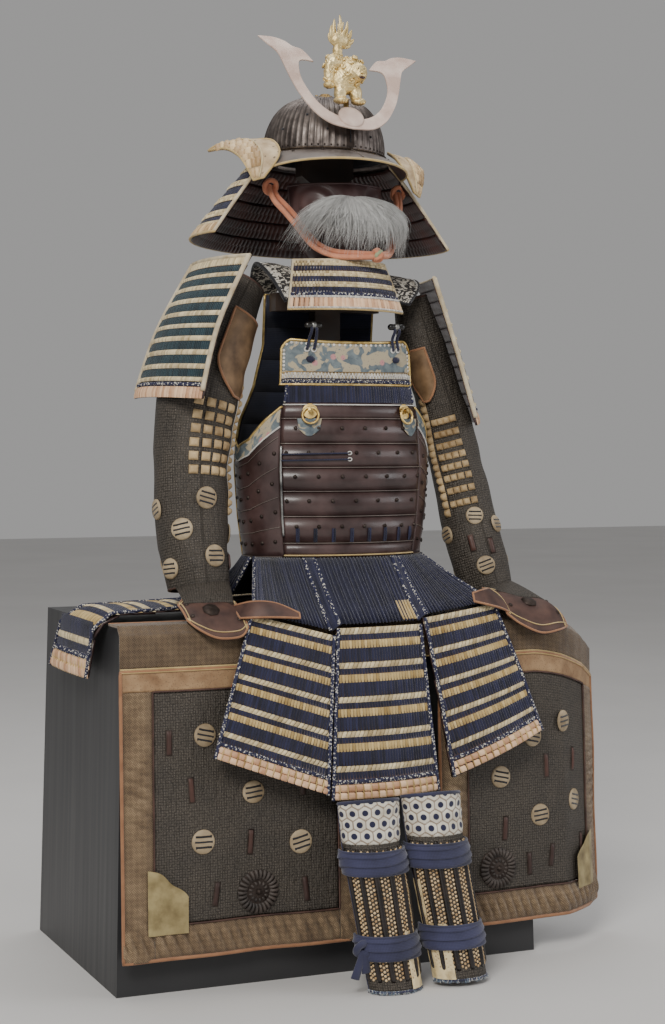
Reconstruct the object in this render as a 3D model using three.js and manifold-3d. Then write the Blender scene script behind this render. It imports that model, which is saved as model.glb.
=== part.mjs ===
// Samurai armour seated on its display plinth.
// Millimetres, +Z up. The armour faces -Y, +X is the viewer's right when facing it,
// and the origin lies on the underside of the plinth below the armour's centre line.
// "right" and "left" in the names are the wearer's: right is the -X side.

import * as THREE from 'three';
import { mergeVertices } from 'three/addons/utils/BufferGeometryUtils.js';
import Module from 'manifold-3d';

const wasm = await Module();
wasm.setup();

// ---- driving dimensions -------------------------------------------------------------------

const SEAM = 0.3;                 // gap between pieces that are sewn, laced or riveted together
const CLOTH = 3;                  // mail sewn on cloth, lined
const LAME = 4;                   // laced lames with their cords
const IRON = 3;                   // iron plates with their lacquer

const PLINTH = { left: -440, right: 296, front: -225, back: 225, height: 588, flare: 12 };
const STAND = {
  post: 24, bar: 100, barBottom: 1120, barTop: 1152, neckTop: 1340, headRest: 50, headBottom: 1360,
  top: 1466, depth: 30,
};

const TORSO_CENTRE_Y = -60;
const TORSO = [
  { z: 686, halfWidth: 164, halfDepth: 98 },
  { z: 760, halfWidth: 174, halfDepth: 105 },
  { z: 844, halfWidth: 180, halfDepth: 109 },
  { z: 928, halfWidth: 175, halfDepth: 104 },
  { z: 987, halfWidth: 160, halfDepth: 95 },
  { z: 1068, halfWidth: 156, halfDepth: 90 },
  { z: 1170, halfWidth: 150, halfDepth: 78 },
];
const WAIST_Z = 690;
const LAME_EDGES = [956, 928, 885, 844, 803, 760, 714, WAIST_Z];
const FRONT_PLATE = { from: -46, to: 49 };          // degrees round from the front
const CHEST_PLATE = { bottom: 987, top: 1068, from: -51, to: 51, dip: 7, cornerDrop: 22, cornerAt: 0.82 };

const HELMET = { x: -9, y: -40, base: 1390, height: 112, halfWidth: 106, halfLength: 117, roll: 2 };
const HORNS = { x: -15, y: -182, z: 1425, thickness: 3, lean: 35, roll: 6, disc: 23 };
const CREST_FOOT = { x: -9, y: -150, z: 1470 };

const APRON = { top: 578, bottom: 60, band: 522, bandHeight: 34, border: 54, wall: 4 };
const TASSET_LAMES = 5;
const RING = { major: 14, minor: 2.2, drop: 8.2, proud: 8 };

// ---- finishes -----------------------------------------------------------------------------

function finish(color, roughness, metalness = 0) {
  return new THREE.MeshStandardMaterial({ color, roughness, metalness });
}

const FINISH = {
  plinth: finish(0x2b2c2e, 0.55),
  wood: finish(0x7a5a3c, 0.6),
  brownLacquer: finish(0x3d2d2e, 0.42, 0.15),
  blackIron: finish(0x2a2422, 0.45, 0.4),
  navyLacing: finish(0x17183a, 0.85),
  tealLacing: finish(0x1c333e, 0.85),
  goldMetal: finish(0xc09a3e, 0.35, 1),
  copperMetal: finish(0xc4a08c, 0.4, 1),
  printedLeather: finish(0x9aa0a0, 0.7),
  brownLeather: finish(0x4a3226, 0.6),
  mailCloth: finish(0x37312d, 0.9),
  brocade: finish(0x6e5840, 0.85),
  moustache: finish(0xb9b8b8, 0.8),
  orangeCord: finish(0xc06a48, 0.8),
  knottedCloth: finish(0xe6e1d4, 0.85),
  indigoCloth: finish(0x2b2d55, 0.85),
  blackLacquer: finish(0x191312, 0.25),
  horn: finish(0x14110f, 0.3),
};

// ---- solids -------------------------------------------------------------------------------

const armour = new THREE.Group();

function add(name, geometry, material) {
  const mesh = new THREE.Mesh(geometry, material);
  mesh.name = name;
  armour.add(mesh);
  return mesh;
}

function vec(x, y, z) {
  return new THREE.Vector3(x, y, z);
}

function lerp(a, b, t) {
  return a + (b - a) * t;
}

function spread(count, from = 0, to = 1) {
  return Array.from({ length: count + 1 }, (unused, i) => lerp(from, to, i / count));
}

// Value of one column of a table at a height, straight between its rows.
function tableAt(table, key, z, column) {
  const rising = [...table].sort((a, b) => a[key] - b[key]);
  if (z <= rising[0][key]) return rising[0][column];
  for (let i = 1; i < rising.length; i += 1) {
    const low = rising[i - 1];
    const high = rising[i];
    if (z <= high[key]) return lerp(low[column], high[column], (z - low[key]) / (high[key] - low[key]));
  }
  return rising[rising.length - 1][column];
}

// Mesh of a closed body, with its faces turned outwards.
function closedMesh(positions, index) {
  const corner = (i) => vec(positions[3 * i], positions[3 * i + 1], positions[3 * i + 2]);
  let volume = 0;
  for (let i = 0; i < index.length; i += 3) {
    const [a, b, c] = [corner(index[i]), corner(index[i + 1]), corner(index[i + 2])];
    volume += a.dot(b.cross(c));
  }
  const geometry = new THREE.BufferGeometry();
  geometry.setAttribute('position', new THREE.Float32BufferAttribute(positions, 3));
  geometry.setIndex(volume > 0 ? index : [...index].reverse());
  return geometry;
}

// Closed mesh between an outer and an inner grid of points. Rows run from top to bottom and
// columns from left to right, both seen from outside. A closed wall joins its last column
// to its first, as a sleeve does.
function wallBetween(outer, inner, closed = false) {
  const rows = outer.length;
  const columns = outer[0].length;
  const positions = [];
  [...outer, ...inner].forEach((row) => row.forEach((p) => positions.push(p.x, p.y, p.z)));
  const out = (i, j) => i * columns + (j % columns);
  const inn = (i, j) => rows * columns + out(i, j);
  const index = [];
  const quad = (a, b, c, d) => index.push(a, b, c, a, c, d);
  const spans = closed ? columns : columns - 1;
  for (let i = 0; i < rows - 1; i += 1) {
    for (let j = 0; j < spans; j += 1) {
      quad(out(i, j), out(i + 1, j), out(i + 1, j + 1), out(i, j + 1));
      quad(inn(i, j), inn(i, j + 1), inn(i + 1, j + 1), inn(i + 1, j));
    }
    if (!closed) {
      quad(out(i + 1, 0), out(i, 0), inn(i, 0), inn(i + 1, 0));
      const last = columns - 1;
      quad(out(i, last), out(i + 1, last), inn(i + 1, last), inn(i, last));
    }
  }
  for (let j = 0; j < spans; j += 1) {
    const end = rows - 1;
    quad(out(0, j), out(0, j + 1), inn(0, j + 1), inn(0, j));
    quad(out(end, j + 1), out(end, j), inn(end, j), inn(end, j + 1));
  }
  return closedMesh(positions, index);
}

// Wall of one thickness on surface(s, t, out): s runs from left to right, t from top to
// bottom, and out is the height above the wall's outer face.
function wall(surface, { across, down, thickness, closed = false, proud = () => 0 }) {
  const columns = closed ? across.slice(0, -1) : across;
  const outer = down.map((t) => columns.map((s) => surface(s, t, proud(t))));
  const inner = down.map((t) => columns.map((s) => surface(s, t, -thickness)));
  return wallBetween(outer, inner, closed);
}

// Overlapping lames: each one's lower edge stands proud of the next one's upper edge.
const LEDGE = 0.012;

function lameRows(edges) {
  const rows = [edges[0]];
  for (let i = 1; i < edges.length - 1; i += 1) rows.push(edges[i], edges[i] + LEDGE);
  rows.push(edges[edges.length - 1]);
  return rows;
}

function lameStep(edges, step) {
  return (t) => {
    const next = edges.findIndex((edge) => t <= edge + LEDGE / 3);
    if (next <= 0) return 0;
    const top = edges[next - 1];
    return (step * Math.max(0, t - top - LEDGE)) / (edges[next] - top);
  };
}

function lames(surface, count, { across, thickness, step = 2.5 }) {
  const edges = spread(count);
  const down = lameRows(edges);
  return wall(surface, { across, down, thickness, proud: lameStep(edges, step) });
}

// Surface through rows of a short table. Each row has a left and a right end point and the
// height of its bow, which points along the row's own outward direction.
function rowSurface(table, outward) {
  const rows = table.map((row) => ({ left: vec(...row.left), right: vec(...row.right), bow: row.bow }));
  const directions = table.map((row) => vec(...(row.outward ?? outward)).normalize());
  return (s, t, out) => {
    const position = Math.min(t, 1) * (rows.length - 1);
    const i = Math.min(Math.floor(position), rows.length - 2);
    const f = position - i;
    const left = rows[i].left.clone().lerp(rows[i + 1].left, f);
    const right = rows[i].right.clone().lerp(rows[i + 1].right, f);
    const direction = directions[i].clone().lerp(directions[i + 1], f).normalize();
    const bow = lerp(rows[i].bow, rows[i + 1].bow, f) * (1 - (2 * s - 1) ** 2);
    return left.lerp(right, s).addScaledVector(direction, bow + out);
  };
}

function outlineShape(points) {
  const shape = new THREE.Shape();
  points.forEach(([x, y], i) => (i ? shape.lineTo(x, y) : shape.moveTo(x, y)));
  shape.closePath();
  return shape;
}

function extruded(shape, depth) {
  return new THREE.ExtrudeGeometry(shape, { depth, bevelEnabled: false, curveSegments: 6 });
}

function cordGeometry(points, radius, sides, steps) {
  const section = new THREE.Shape();
  section.absarc(0, 0, radius, 0, Math.PI * 2);
  const outline = new THREE.Shape(section.getPoints(sides).slice(0, sides));
  const path = new THREE.CatmullRomCurve3(points.map((p) => vec(...p)));
  return new THREE.ExtrudeGeometry(outline, { steps, extrudePath: path });
}

// ---- joining with the solid library ---------------------------------------------------------

function toSolid(source) {
  const bare = source.clone();
  bare.deleteAttribute('normal');
  bare.deleteAttribute('uv');
  const geometry = mergeVertices(bare, 1e-4);
  const vertProperties = new Float32Array(geometry.attributes.position.array);
  const triVerts = new Uint32Array(geometry.index.array);
  return new wasm.Manifold(new wasm.Mesh({ numProp: 3, vertProperties, triVerts }));
}

function fromSolid(solid) {
  const mesh = solid.getMesh();
  const geometry = new THREE.BufferGeometry();
  geometry.setAttribute('position', new THREE.Float32BufferAttribute(mesh.vertProperties, 3));
  geometry.setIndex(Array.from(mesh.triVerts));
  return geometry;
}

function joined(geometries) {
  return fromSolid(geometries.map(toSolid).reduce((a, b) => a.add(b)));
}

// ---- plinth and stand -----------------------------------------------------------------------

// A box whose foot spreads a little on every side.
function plinthGeometry() {
  const { left, right, front, back, height, flare } = PLINTH;
  const geometry = new THREE.BoxGeometry(1, 1, 1);
  const position = geometry.attributes.position;
  for (let i = 0; i < position.count; i += 1) {
    const sideX = Math.sign(position.getX(i));
    const sideY = Math.sign(position.getY(i));
    const top = position.getZ(i) > 0;
    const spreadFoot = top ? 0 : flare;
    const x = (sideX < 0 ? left : right) + sideX * spreadFoot;
    const y = (sideY < 0 ? front : back) + sideY * spreadFoot;
    position.setXYZ(i, x, y, top ? height : 0);
  }
  return geometry;
}

// A post with a shoulder bar that the straps lie on and a block that the helmet sits on.
function standGeometry() {
  const { post, bar, barBottom, barTop, neckTop, headRest, headBottom, top, depth } = STAND;
  const foot = PLINTH.height + SEAM;
  const half = [
    [post, foot], [post, barBottom], [bar, barBottom], [bar, barTop], [post, barTop],
    [post, neckTop], [headRest, headBottom], [headRest, top],
  ];
  const mirrored = [...half].reverse().map(([x, z]) => [-x, z]);
  const geometry = extruded(outlineShape([...half, ...mirrored]), depth);
  geometry.rotateX(Math.PI / 2);
  geometry.translate(0, TORSO_CENTRE_Y + 20 + depth, 0);
  return geometry;
}

add('plinth', plinthGeometry(), FINISH.plinth);
add('armour_stand', standGeometry(), FINISH.wood);

// ---- cuirass --------------------------------------------------------------------------------

// Point of the torso's form at an angle round from the front, towards +X.
function torso(degrees, z, out = 0) {
  const angle = THREE.MathUtils.degToRad(degrees);
  const a = tableAt(TORSO, 'z', z, 'halfWidth') + out;
  const b = tableAt(TORSO, 'z', z, 'halfDepth') + out;
  return vec(a * Math.sin(angle), TORSO_CENTRE_Y - b * Math.cos(angle), z);
}

function frontPlate() {
  const { from, to } = FRONT_PLATE;
  const top = LAME_EDGES[0];
  const edges = LAME_EDGES.map((z) => (top - z) / (top - WAIST_Z));
  const surface = (s, t, out) => torso(lerp(from, to, s), lerp(top, WAIST_Z, t), out);
  const options = { across: spread(8), down: lameRows(edges), thickness: IRON };
  return wall(surface, { ...options, proud: lameStep(edges, 1.6) });
}

// The side plate's upper edge is scooped under the arm.
const ARMHOLE = [
  { round: 0, top: 950 },
  { round: 12, top: 925 },
  { round: 26, top: 893 },
  { round: 42, top: 880 },
  { round: 56, top: 895 },
];

const SIDE_PLATE = { gap: 0.6, round: 56 };        // degrees

function sidePlate(side) {
  const start = (side < 0 ? -FRONT_PLATE.from : FRONT_PLATE.to) + SIDE_PLATE.gap;
  const roundTo = SIDE_PLATE.round;
  const surface = (s, t, out) => {
    const round = side < 0 ? roundTo * (1 - s) : roundTo * s;
    const top = tableAt(ARMHOLE, 'round', round, 'top');
    return torso(side * (start + round), lerp(top, WAIST_Z, t), out);
  };
  return wall(surface, { across: spread(7), down: spread(4), thickness: IRON });
}

// The back plate narrows above the armholes and ends at the shoulder straps.
const BACK_TOP = 1150;
const BACK_PLATE = [
  { z: 690, halfAngle: 72 },
  { z: 890, halfAngle: 72 },
  { z: 960, halfAngle: 56 },
  { z: 1060, halfAngle: 42 },
  { z: BACK_TOP, halfAngle: 44 },
];

function backPlate() {
  const surface = (s, t, out) => {
    const z = lerp(BACK_TOP, WAIST_Z, t);
    const half = tableAt(BACK_PLATE, 'z', z, 'halfAngle');
    return torso(180 + lerp(-half, half, s), z, out);
  };
  return wall(surface, { across: spread(8), down: spread(6), thickness: IRON });
}

function chestPlate() {
  const { bottom, top, from, to, dip: neckDip, cornerDrop, cornerAt } = CHEST_PLATE;
  const surface = (s, t, out) => {
    const side = Math.abs(2 * s - 1);
    const corner = Math.max(0, (side - cornerAt) / (1 - cornerAt));
    const dip = neckDip * (1 - side ** 2) + cornerDrop * corner ** 2;
    return torso(lerp(from, to, s), lerp(top - dip, bottom, t), out);
  };
  return wall(surface, { across: spread(12), down: spread(2), thickness: IRON });
}

function chestLacing() {
  const surface = (s, t, out) => {
    const z = lerp(CHEST_PLATE.bottom - SEAM, LAME_EDGES[0] + SEAM, t);
    return torso(lerp(FRONT_PLATE.from, FRONT_PLATE.to, s), z, out);
  };
  return wall(surface, { across: spread(8), down: spread(1), thickness: IRON });
}

add('chest_plate', chestPlate(), FINISH.printedLeather);
add('chest_lacing', chestLacing(), FINISH.navyLacing);
add('front_plate', frontPlate(), FINISH.brownLacquer);
add('side_plate_right', sidePlate(-1), FINISH.brownLacquer);
add('side_plate_left', sidePlate(1), FINISH.brownLacquer);
add('back_plate', backPlate(), FINISH.brownLacquer);

// Shoulder straps over the top, from behind to the front, with their printed leather.
const STRAPS = {
  right: [
    { left: [-72, 28, 1160], right: [-126, 24, 1150], bow: 3 },
    { left: [-76, -30, 1196], right: [-136, -30, 1202], bow: 4 },
    { left: [-74, -80, 1180], right: [-126, -80, 1178], bow: 4 },
    { left: [-62, -118, 1140], right: [-112, -112, 1134], bow: 3 },
  ],
  left: [
    { left: [130, 24, 1150], right: [72, 28, 1160], bow: 3 },
    { left: [160, -36, 1180], right: [78, -30, 1190], bow: 4 },
    { left: [162, -80, 1168], right: [80, -80, 1172], bow: 4 },
    { left: [128, -112, 1134], right: [76, -118, 1134], bow: 3 },
  ],
};

function strap(table) {
  const turned = table.map(({ left, right, bow }) => ({ left: right, right: left, bow }));
  const surface = rowSurface(turned, [0, -0.35, 1]);
  return wall(surface, { across: spread(3), down: spread(6), thickness: 5 });
}

const TOGGLE = { radius: 5, length: 22, y: -148, z: 1089, right: -73, left: 84 };

function toggle(x) {
  const bead = new THREE.CapsuleGeometry(TOGGLE.radius, TOGGLE.length, 3, 8);
  bead.rotateZ(Math.PI / 2);
  bead.translate(x, TOGGLE.y, TOGGLE.z);
  return bead;
}

add('shoulder_strap_right', strap(STRAPS.right), FINISH.printedLeather);
add('shoulder_strap_left', strap(STRAPS.left), FINISH.printedLeather);
add('toggle_right', toggle(TOGGLE.right), FINISH.horn);
add('toggle_left', toggle(TOGGLE.left), FINISH.horn);

// ---- rings on the breast ----------------------------------------------------------------------

const RINGS = { right: { degrees: -28, z: 941 }, left: { degrees: 35, z: 941 } };

function ringFrame({ degrees, z }) {
  const point = torso(degrees, z, 0);
  const down = torso(degrees, z - 10).sub(torso(degrees, z + 10));
  const across = torso(degrees + 3, z).sub(torso(degrees - 3, z));
  return { point, ahead: down.cross(across).normalize() };
}

// A mushroom post: a flat rosette, a thin neck that the ring hangs on and a round head.
function ringPost(place) {
  const { point, ahead } = ringFrame(place);
  const profile = [
    [0, 3], [12, 3], [13, 4.4], [4, 5], [3.2, 5.6], [3.2, 11], [5, 12], [4.4, 14.5], [0, 16],
  ].map(([r, h]) => new THREE.Vector2(r, h));
  const geometry = new THREE.LatheGeometry(profile, 16);
  geometry.applyQuaternion(new THREE.Quaternion().setFromUnitVectors(vec(0, 1, 0), ahead));
  geometry.translate(point.x, point.y, point.z);
  return geometry;
}

function hangingRing(place) {
  const { point, ahead } = ringFrame(place);
  const geometry = new THREE.TorusGeometry(RING.major, RING.minor, 6, 20);
  geometry.applyQuaternion(new THREE.Quaternion().setFromUnitVectors(vec(0, 0, 1), ahead));
  const plumb = vec(0, 0, -1).addScaledVector(ahead, ahead.z).normalize();
  const centre = point.addScaledVector(ahead, RING.proud).addScaledVector(plumb, RING.drop);
  geometry.translate(centre.x, centre.y, centre.z);
  return geometry;
}

add('ring_post_right', ringPost(RINGS.right), FINISH.goldMetal);
add('ring_post_left', ringPost(RINGS.left), FINISH.goldMetal);
add('ring_right', hangingRing(RINGS.right), FINISH.goldMetal);
add('ring_left', hangingRing(RINGS.left), FINISH.goldMetal);

// ---- tassets and the cords they hang on ---------------------------------------------------------

// Rows from the top edge down to the bottom edge, ends seen from outside.
const TASSETS = {
  front_centre: {
    outward: [0, -1, 0],
    rows: [
      { left: [-82, -268, 580], right: [72, -268, 582], bow: 8 },
      { left: [-103, -294, 300], right: [94, -294, 304], bow: 16 },
    ],
  },
  front_right: {
    outward: [-0.3, -0.95, 0.1],
    rows: [
      { left: [-228, -252, 606], right: [-86, -270, 568], bow: 6 },
      { left: [-304, -284, 381], right: [-107, -296, 309], bow: 12 },
    ],
  },
  front_left: {
    outward: [0.3, -0.95, 0.1],
    rows: [
      { left: [76, -270, 592], right: [219, -254, 610], bow: 6 },
      { left: [98, -284, 460], right: [262, -266, 500], bow: 10 },
      { left: [118, -296, 324], right: [298, -282, 392], bow: 12 },
    ],
  },
  side_right: {
    rows: [
      { left: [-204, 60, 607], right: [-204, -66, 607], bow: 4, outward: [-0.2, 0, 1] },
      { left: [-330, 40, 605], right: [-330, -120, 605], bow: 6, outward: [0, 0, 1] },
      { left: [-436, 12, 605], right: [-436, -160, 605], bow: 6, outward: [-0.3, 0, 1] },
      { left: [-464, 40, 580], right: [-464, -154, 580], bow: 6, outward: [-1, 0, 0.4] },
      { left: [-467, 101, 500], right: [-467, -128, 500], bow: 6, outward: [-1, 0, 0] },
    ],
  },
  side_left: {
    rows: [
      { left: [204, -66, 606], right: [204, 60, 606], bow: 4, outward: [0.2, 0, 1] },
      { left: [250, -70, 604], right: [250, 74, 604], bow: 5, outward: [0, 0, 1] },
      { left: [297, -74, 605], right: [297, 84, 605], bow: 5, outward: [0.3, 0, 1] },
      { left: [325, -84, 576], right: [325, 98, 576], bow: 6, outward: [1, 0, 0.4] },
      { left: [328, -100, 400], right: [328, 124, 400], bow: 6, outward: [1, 0, 0] },
    ],
  },
  back_right: {
    rows: [
      { left: [-12, 86, 606], right: [-150, 86, 606], bow: 4, outward: [0, 0.2, 1] },
      { left: [-12, 160, 604], right: [-168, 160, 604], bow: 5, outward: [0, 0, 1] },
      { left: [-12, 223, 605], right: [-180, 223, 605], bow: 5, outward: [0, 0.3, 1] },
      { left: [-12, 250, 576], right: [-190, 250, 576], bow: 6, outward: [0, 1, 0.4] },
      { left: [-12, 254, 430], right: [-208, 254, 430], bow: 6, outward: [0, 1, 0] },
    ],
  },
  back_left: {
    rows: [
      { left: [150, 86, 606], right: [12, 86, 606], bow: 4, outward: [0, 0.2, 1] },
      { left: [168, 160, 604], right: [12, 160, 604], bow: 5, outward: [0, 0, 1] },
      { left: [180, 223, 605], right: [12, 223, 605], bow: 5, outward: [0, 0.3, 1] },
      { left: [190, 250, 576], right: [12, 250, 576], bow: 6, outward: [0, 1, 0.4] },
      { left: [208, 254, 430], right: [12, 254, 430], bow: 6, outward: [0, 1, 0] },
    ],
  },
};

Object.entries(TASSETS).forEach(([name, { outward, rows }]) => {
  const geometry = lames(rowSurface(rows, outward), TASSET_LAMES, { across: spread(4), thickness: LAME });
  add(`tasset_${name}`, geometry, FINISH.navyLacing);
});

// Bunches of cord from the waist down and out to the tassets. Each foot point stands a
// little above a tasset's top edge, and the cords hang in shallow waves between.
const CORD_FEET = {
  front: [
    { degrees: -74, foot: [-224, -250, 612] },
    { degrees: -52, foot: [-155, -266, 594] },
    { degrees: -32, foot: [-90, -269, 577] },
    { degrees: -26, foot: [-78, -272, 587] },
    { degrees: 0, foot: [-4, -277, 588] },
    { degrees: 26, foot: [66, -271, 590] },
    { degrees: 31, foot: [80, -270, 599] },
    { degrees: 50, foot: [148, -268, 608] },
    { degrees: 72, foot: [215, -252, 617] },
  ],
  side_right: [
    { degrees: -122, foot: [-200, 56, 612] },
    { degrees: -98, foot: [-202, -4, 614] },
    { degrees: -78, foot: [-200, -62, 612] },
  ],
  side_left: [
    { degrees: 76, foot: [200, -62, 612] },
    { degrees: 98, foot: [202, -4, 614] },
    { degrees: 122, foot: [200, 56, 612] },
  ],
  back: [
    { degrees: 126, foot: [148, 82, 612] },
    { degrees: 154, foot: [80, 84, 614] },
    { degrees: 178, foot: [6, 84, 612] },
    { degrees: 206, foot: [-80, 84, 614] },
    { degrees: 234, foot: [-148, 82, 612] },
  ],
};

function hangingCords(feet) {
  const surface = (s, t, out) => {
    const position = s * (feet.length - 1);
    const i = Math.min(Math.floor(position), feet.length - 2);
    const f = position - i;
    const degrees = lerp(feet[i].degrees, feet[i + 1].degrees, f);
    const top = torso(degrees, WAIST_Z - SEAM * 2, out);
    const foot = vec(...feet[i].foot).lerp(vec(...feet[i + 1].foot), f);
    const ahead = torso(degrees, WAIST_Z, 10).sub(torso(degrees, WAIST_Z, 0)).normalize();
    foot.addScaledVector(ahead, out);
    return top.lerp(foot, t);
  };
  const across = spread((feet.length - 1) * 2);
  return wall(surface, { across, down: spread(3), thickness: 4 });
}

Object.entries(CORD_FEET).forEach(([name, feet]) => {
  add(`hanging_cords_${name}`, hangingCords(feet), FINISH.navyLacing);
});

// ---- shoulder guards ------------------------------------------------------------------------

const SHOULDER_GUARDS = {
  right: {
    outward: [-1, -0.1, 0.1],
    rows: [
      { left: [-226, 36, 1202], right: [-206, -192, 1200], bow: 14 },
      { left: [-284, 60, 1085], right: [-262, -196, 1082], bow: 24 },
      { left: [-318, 88, 965], right: [-292, -196, 960], bow: 26 },
    ],
  },
  left: {
    outward: [1, -0.42, 0.25],
    rows: [
      { left: [163, -134, 1178], right: [236, 78, 1184], bow: 12 },
      { left: [206, -138, 1048], right: [290, 92, 1054], bow: 16 },
      { left: [246, -140, 918], right: [338, 104, 924], bow: 16 },
    ],
  },
};

Object.entries(SHOULDER_GUARDS).forEach(([side, { outward, rows }]) => {
  const geometry = lames(rowSurface(rows, outward), 6, { across: spread(4), thickness: LAME, step: 2 });
  add(`shoulder_guard_${side}`, geometry, FINISH.tealLacing);
});

// ---- sleeves --------------------------------------------------------------------------------

// Rings of the sleeves from the shoulder to the wrist.
const SLEEVES = {
  right: [
    { x: -160, y: -44, z: 1166, radius: 38 },
    { x: -196, y: -52, z: 1110, radius: 52 },
    { x: -232, y: -58, z: 1030, radius: 62 },
    { x: -256, y: -62, z: 952, radius: 68 },
    { x: -268, y: -68, z: 870, radius: 66 },
    { x: -271, y: -78, z: 789, radius: 63 },
    { x: -272, y: -92, z: 712, radius: 59 },
    { x: -270, y: -104, z: 672, radius: 55 },
    { x: -268, y: -110, z: 642, radius: 52 },
  ],
  left: [
    { x: 160, y: -44, z: 1150, radius: 30 },
    { x: 182, y: -46, z: 1060, radius: 44 },
    { x: 213, y: -48, z: 980, radius: 43 },
    { x: 236, y: -52, z: 895, radius: 47 },
    { x: 252, y: -62, z: 819, radius: 50 },
    { x: 265, y: -80, z: 730, radius: 50 },
    { x: 276, y: -98, z: 665, radius: 49 },
    { x: 284, y: -108, z: 622, radius: 45 },
  ],
};

// Rings lie square to the line through their centres, as they do on a bent sleeve.
function sleeveSurface(rings) {
  const centres = rings.map(({ x, y, z }) => vec(x, y, z));
  const last = rings.length - 1;
  return (degrees, t, out) => {
    const position = t * last;
    const i = Math.min(Math.floor(position), last - 1);
    const f = position - i;
    const centre = centres[i].clone().lerp(centres[i + 1], f);
    const tangentAt = (k) => centres[Math.min(k + 1, last)].clone().sub(centres[Math.max(k - 1, 0)]);
    const down = tangentAt(i).normalize().lerp(tangentAt(i + 1).normalize(), f).normalize();
    const side = vec(1, 0, 0).addScaledVector(down, -down.x).normalize();
    const front = down.clone().cross(side).normalize();
    const radius = lerp(rings[i].radius, rings[i + 1].radius, f) + out;
    const angle = THREE.MathUtils.degToRad(degrees);
    centre.addScaledVector(side, radius * Math.sin(angle));
    return centre.addScaledVector(front, radius * Math.cos(angle));
  };
}

function sleeve(rings) {
  const round = sleeveSurface(rings);
  const surface = (s, t, out) => round(s * 360, t, out);
  const down = spread(rings.length - 1);
  return wall(surface, { across: spread(12), down, thickness: CLOTH, closed: true });
}

// A brocade flap edged with leather that covers the front of the shoulder.
const FLAP_LIFT = 5;
const FLAPS = {
  right: { from: 78, to: -6, tip: 58, topTurn: 0.12, bottomTurn: 0.34 },
  left: { from: -74, to: -20, tip: -62, topTurn: 0.14, bottomTurn: 0.3 },
};

function sleeveFlap(side) {
  const round = sleeveSurface(SLEEVES[side]);
  const { from, to, tip, topTurn, bottomTurn } = FLAPS[side];
  const surface = (s, t, out) => {
    const narrow = Math.max(0, t - 0.55) / 0.45;
    const inner = lerp(from, tip, narrow ** 2);
    const outer = lerp(to, tip + (to - tip) * 0.3, narrow ** 2);
    const a = side === 'right' ? lerp(outer, inner, s) : lerp(inner, outer, s);
    return round(a, lerp(topTurn, bottomTurn, t), out + FLAP_LIFT);
  };
  return wall(surface, { across: spread(5), down: spread(6), thickness: 2.6 });
}

Object.entries(SLEEVES).forEach(([side, rings]) => {
  add(`sleeve_${side}`, sleeve(rings), FINISH.mailCloth);
  add(`sleeve_flap_${side}`, sleeveFlap(side), FINISH.brocade);
});

// Leather plates over the backs of the hands, draped over the plinth's edge. Stations run
// across each plate, from its upper edge to its lower one, and the lobe covers the thumb.
const HANDS = {
  right: {
    plate: [
      { left: [-334, -196, 622], right: [-332, -238, 600], bow: 2 },
      { left: [-318, -178, 630], right: [-318, -260, 586], bow: 8 },
      { left: [-288, -176, 634], right: [-290, -270, 573], bow: 10 },
      { left: [-254, -178, 634], right: [-252, -270, 574], bow: 9 },
      { left: [-236, -196, 624], right: [-236, -262, 588], bow: 5 },
    ],
    lobe: [
      { left: [-246, -210, 618], right: [-246, -250, 602], bow: 1 },
      { left: [-224, -246, 628], right: [-224, -268, 604], bow: 2 },
      { left: [-190, -264, 626], right: [-190, -279, 604], bow: 2 },
      { left: [-154, -281, 610], right: [-154, -285, 602], bow: 0 },
    ],
  },
  left: {
    plate: [
      { left: [238, -178, 632], right: [238, -270, 594], bow: 10 },
      { left: [262, -166, 626], right: [262, -276, 576], bow: 18 },
      { left: [300, -160, 612], right: [300, -280, 560], bow: 24 },
      { left: [338, -166, 603], right: [338, -274, 563], bow: 26 },
      { left: [366, -196, 593], right: [366, -252, 566], bow: 9 },
    ],
    lobe: [
      { left: [172, -268, 632], right: [172, -274, 618], bow: 0 },
      { left: [204, -252, 636], right: [204, -276, 610], bow: 2 },
      { left: [226, -226, 634], right: [226, -272, 604], bow: 4 },
      { left: [250, -208, 622], right: [250, -264, 594], bow: 6 },
    ],
  },
};

function handPlate({ plate, lobe }) {
  const piece = (stations, thickness) => {
    const across = rowSurface(stations, [0, -0.5, 0.86]);
    const surface = (s, t, out) => across(t, s, out);
    return wall(surface, { across: spread(8), down: spread(6), thickness });
  };
  return joined([piece(plate, 5), piece(lobe, 5)]);
}

Object.entries(HANDS).forEach(([side, hand]) => {
  add(`hand_plate_${side}`, handPlate(hand), FINISH.brownLeather);
});

// ---- helmet ---------------------------------------------------------------------------------

// The helmet leans a little to one side.
function helmet(x, y, z) {
  const turn = THREE.MathUtils.degToRad(HELMET.roll);
  const p = vec(x, y, z - HELMET.base).applyAxisAngle(vec(0, 1, 0), turn);
  return vec(HELMET.x + p.x, HELMET.y + p.y, HELMET.base + p.z);
}

function roundHead(degrees, radiusX, radiusY, z) {
  const angle = THREE.MathUtils.degToRad(degrees);
  return helmet(radiusX * Math.sin(angle), -radiusY * Math.cos(angle), z);
}

// Bowl: a high dome with an open finial hole at the top.
function bowl() {
  const surface = (s, t, out) => {
    const height = Math.cos((t * Math.PI) / 2) ** 0.9;
    const size = lerp(0.1, 1, Math.sin((t * Math.PI) / 2) ** 0.72);
    const x = HELMET.halfWidth * size + out;
    const y = HELMET.halfLength * size + out;
    return roundHead(s * 360 + 180, x, y, HELMET.base + (HELMET.height + out) * height);
  };
  return wall(surface, { across: spread(24), down: spread(6), thickness: IRON, closed: true });
}

// Visor: springs from the bowl's rim and slopes forward and down.
const VISOR = { half: 62, rim: 4, sideReach: 22, frontReach: 34, sideDrop: 30, frontLift: 10 };

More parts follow.
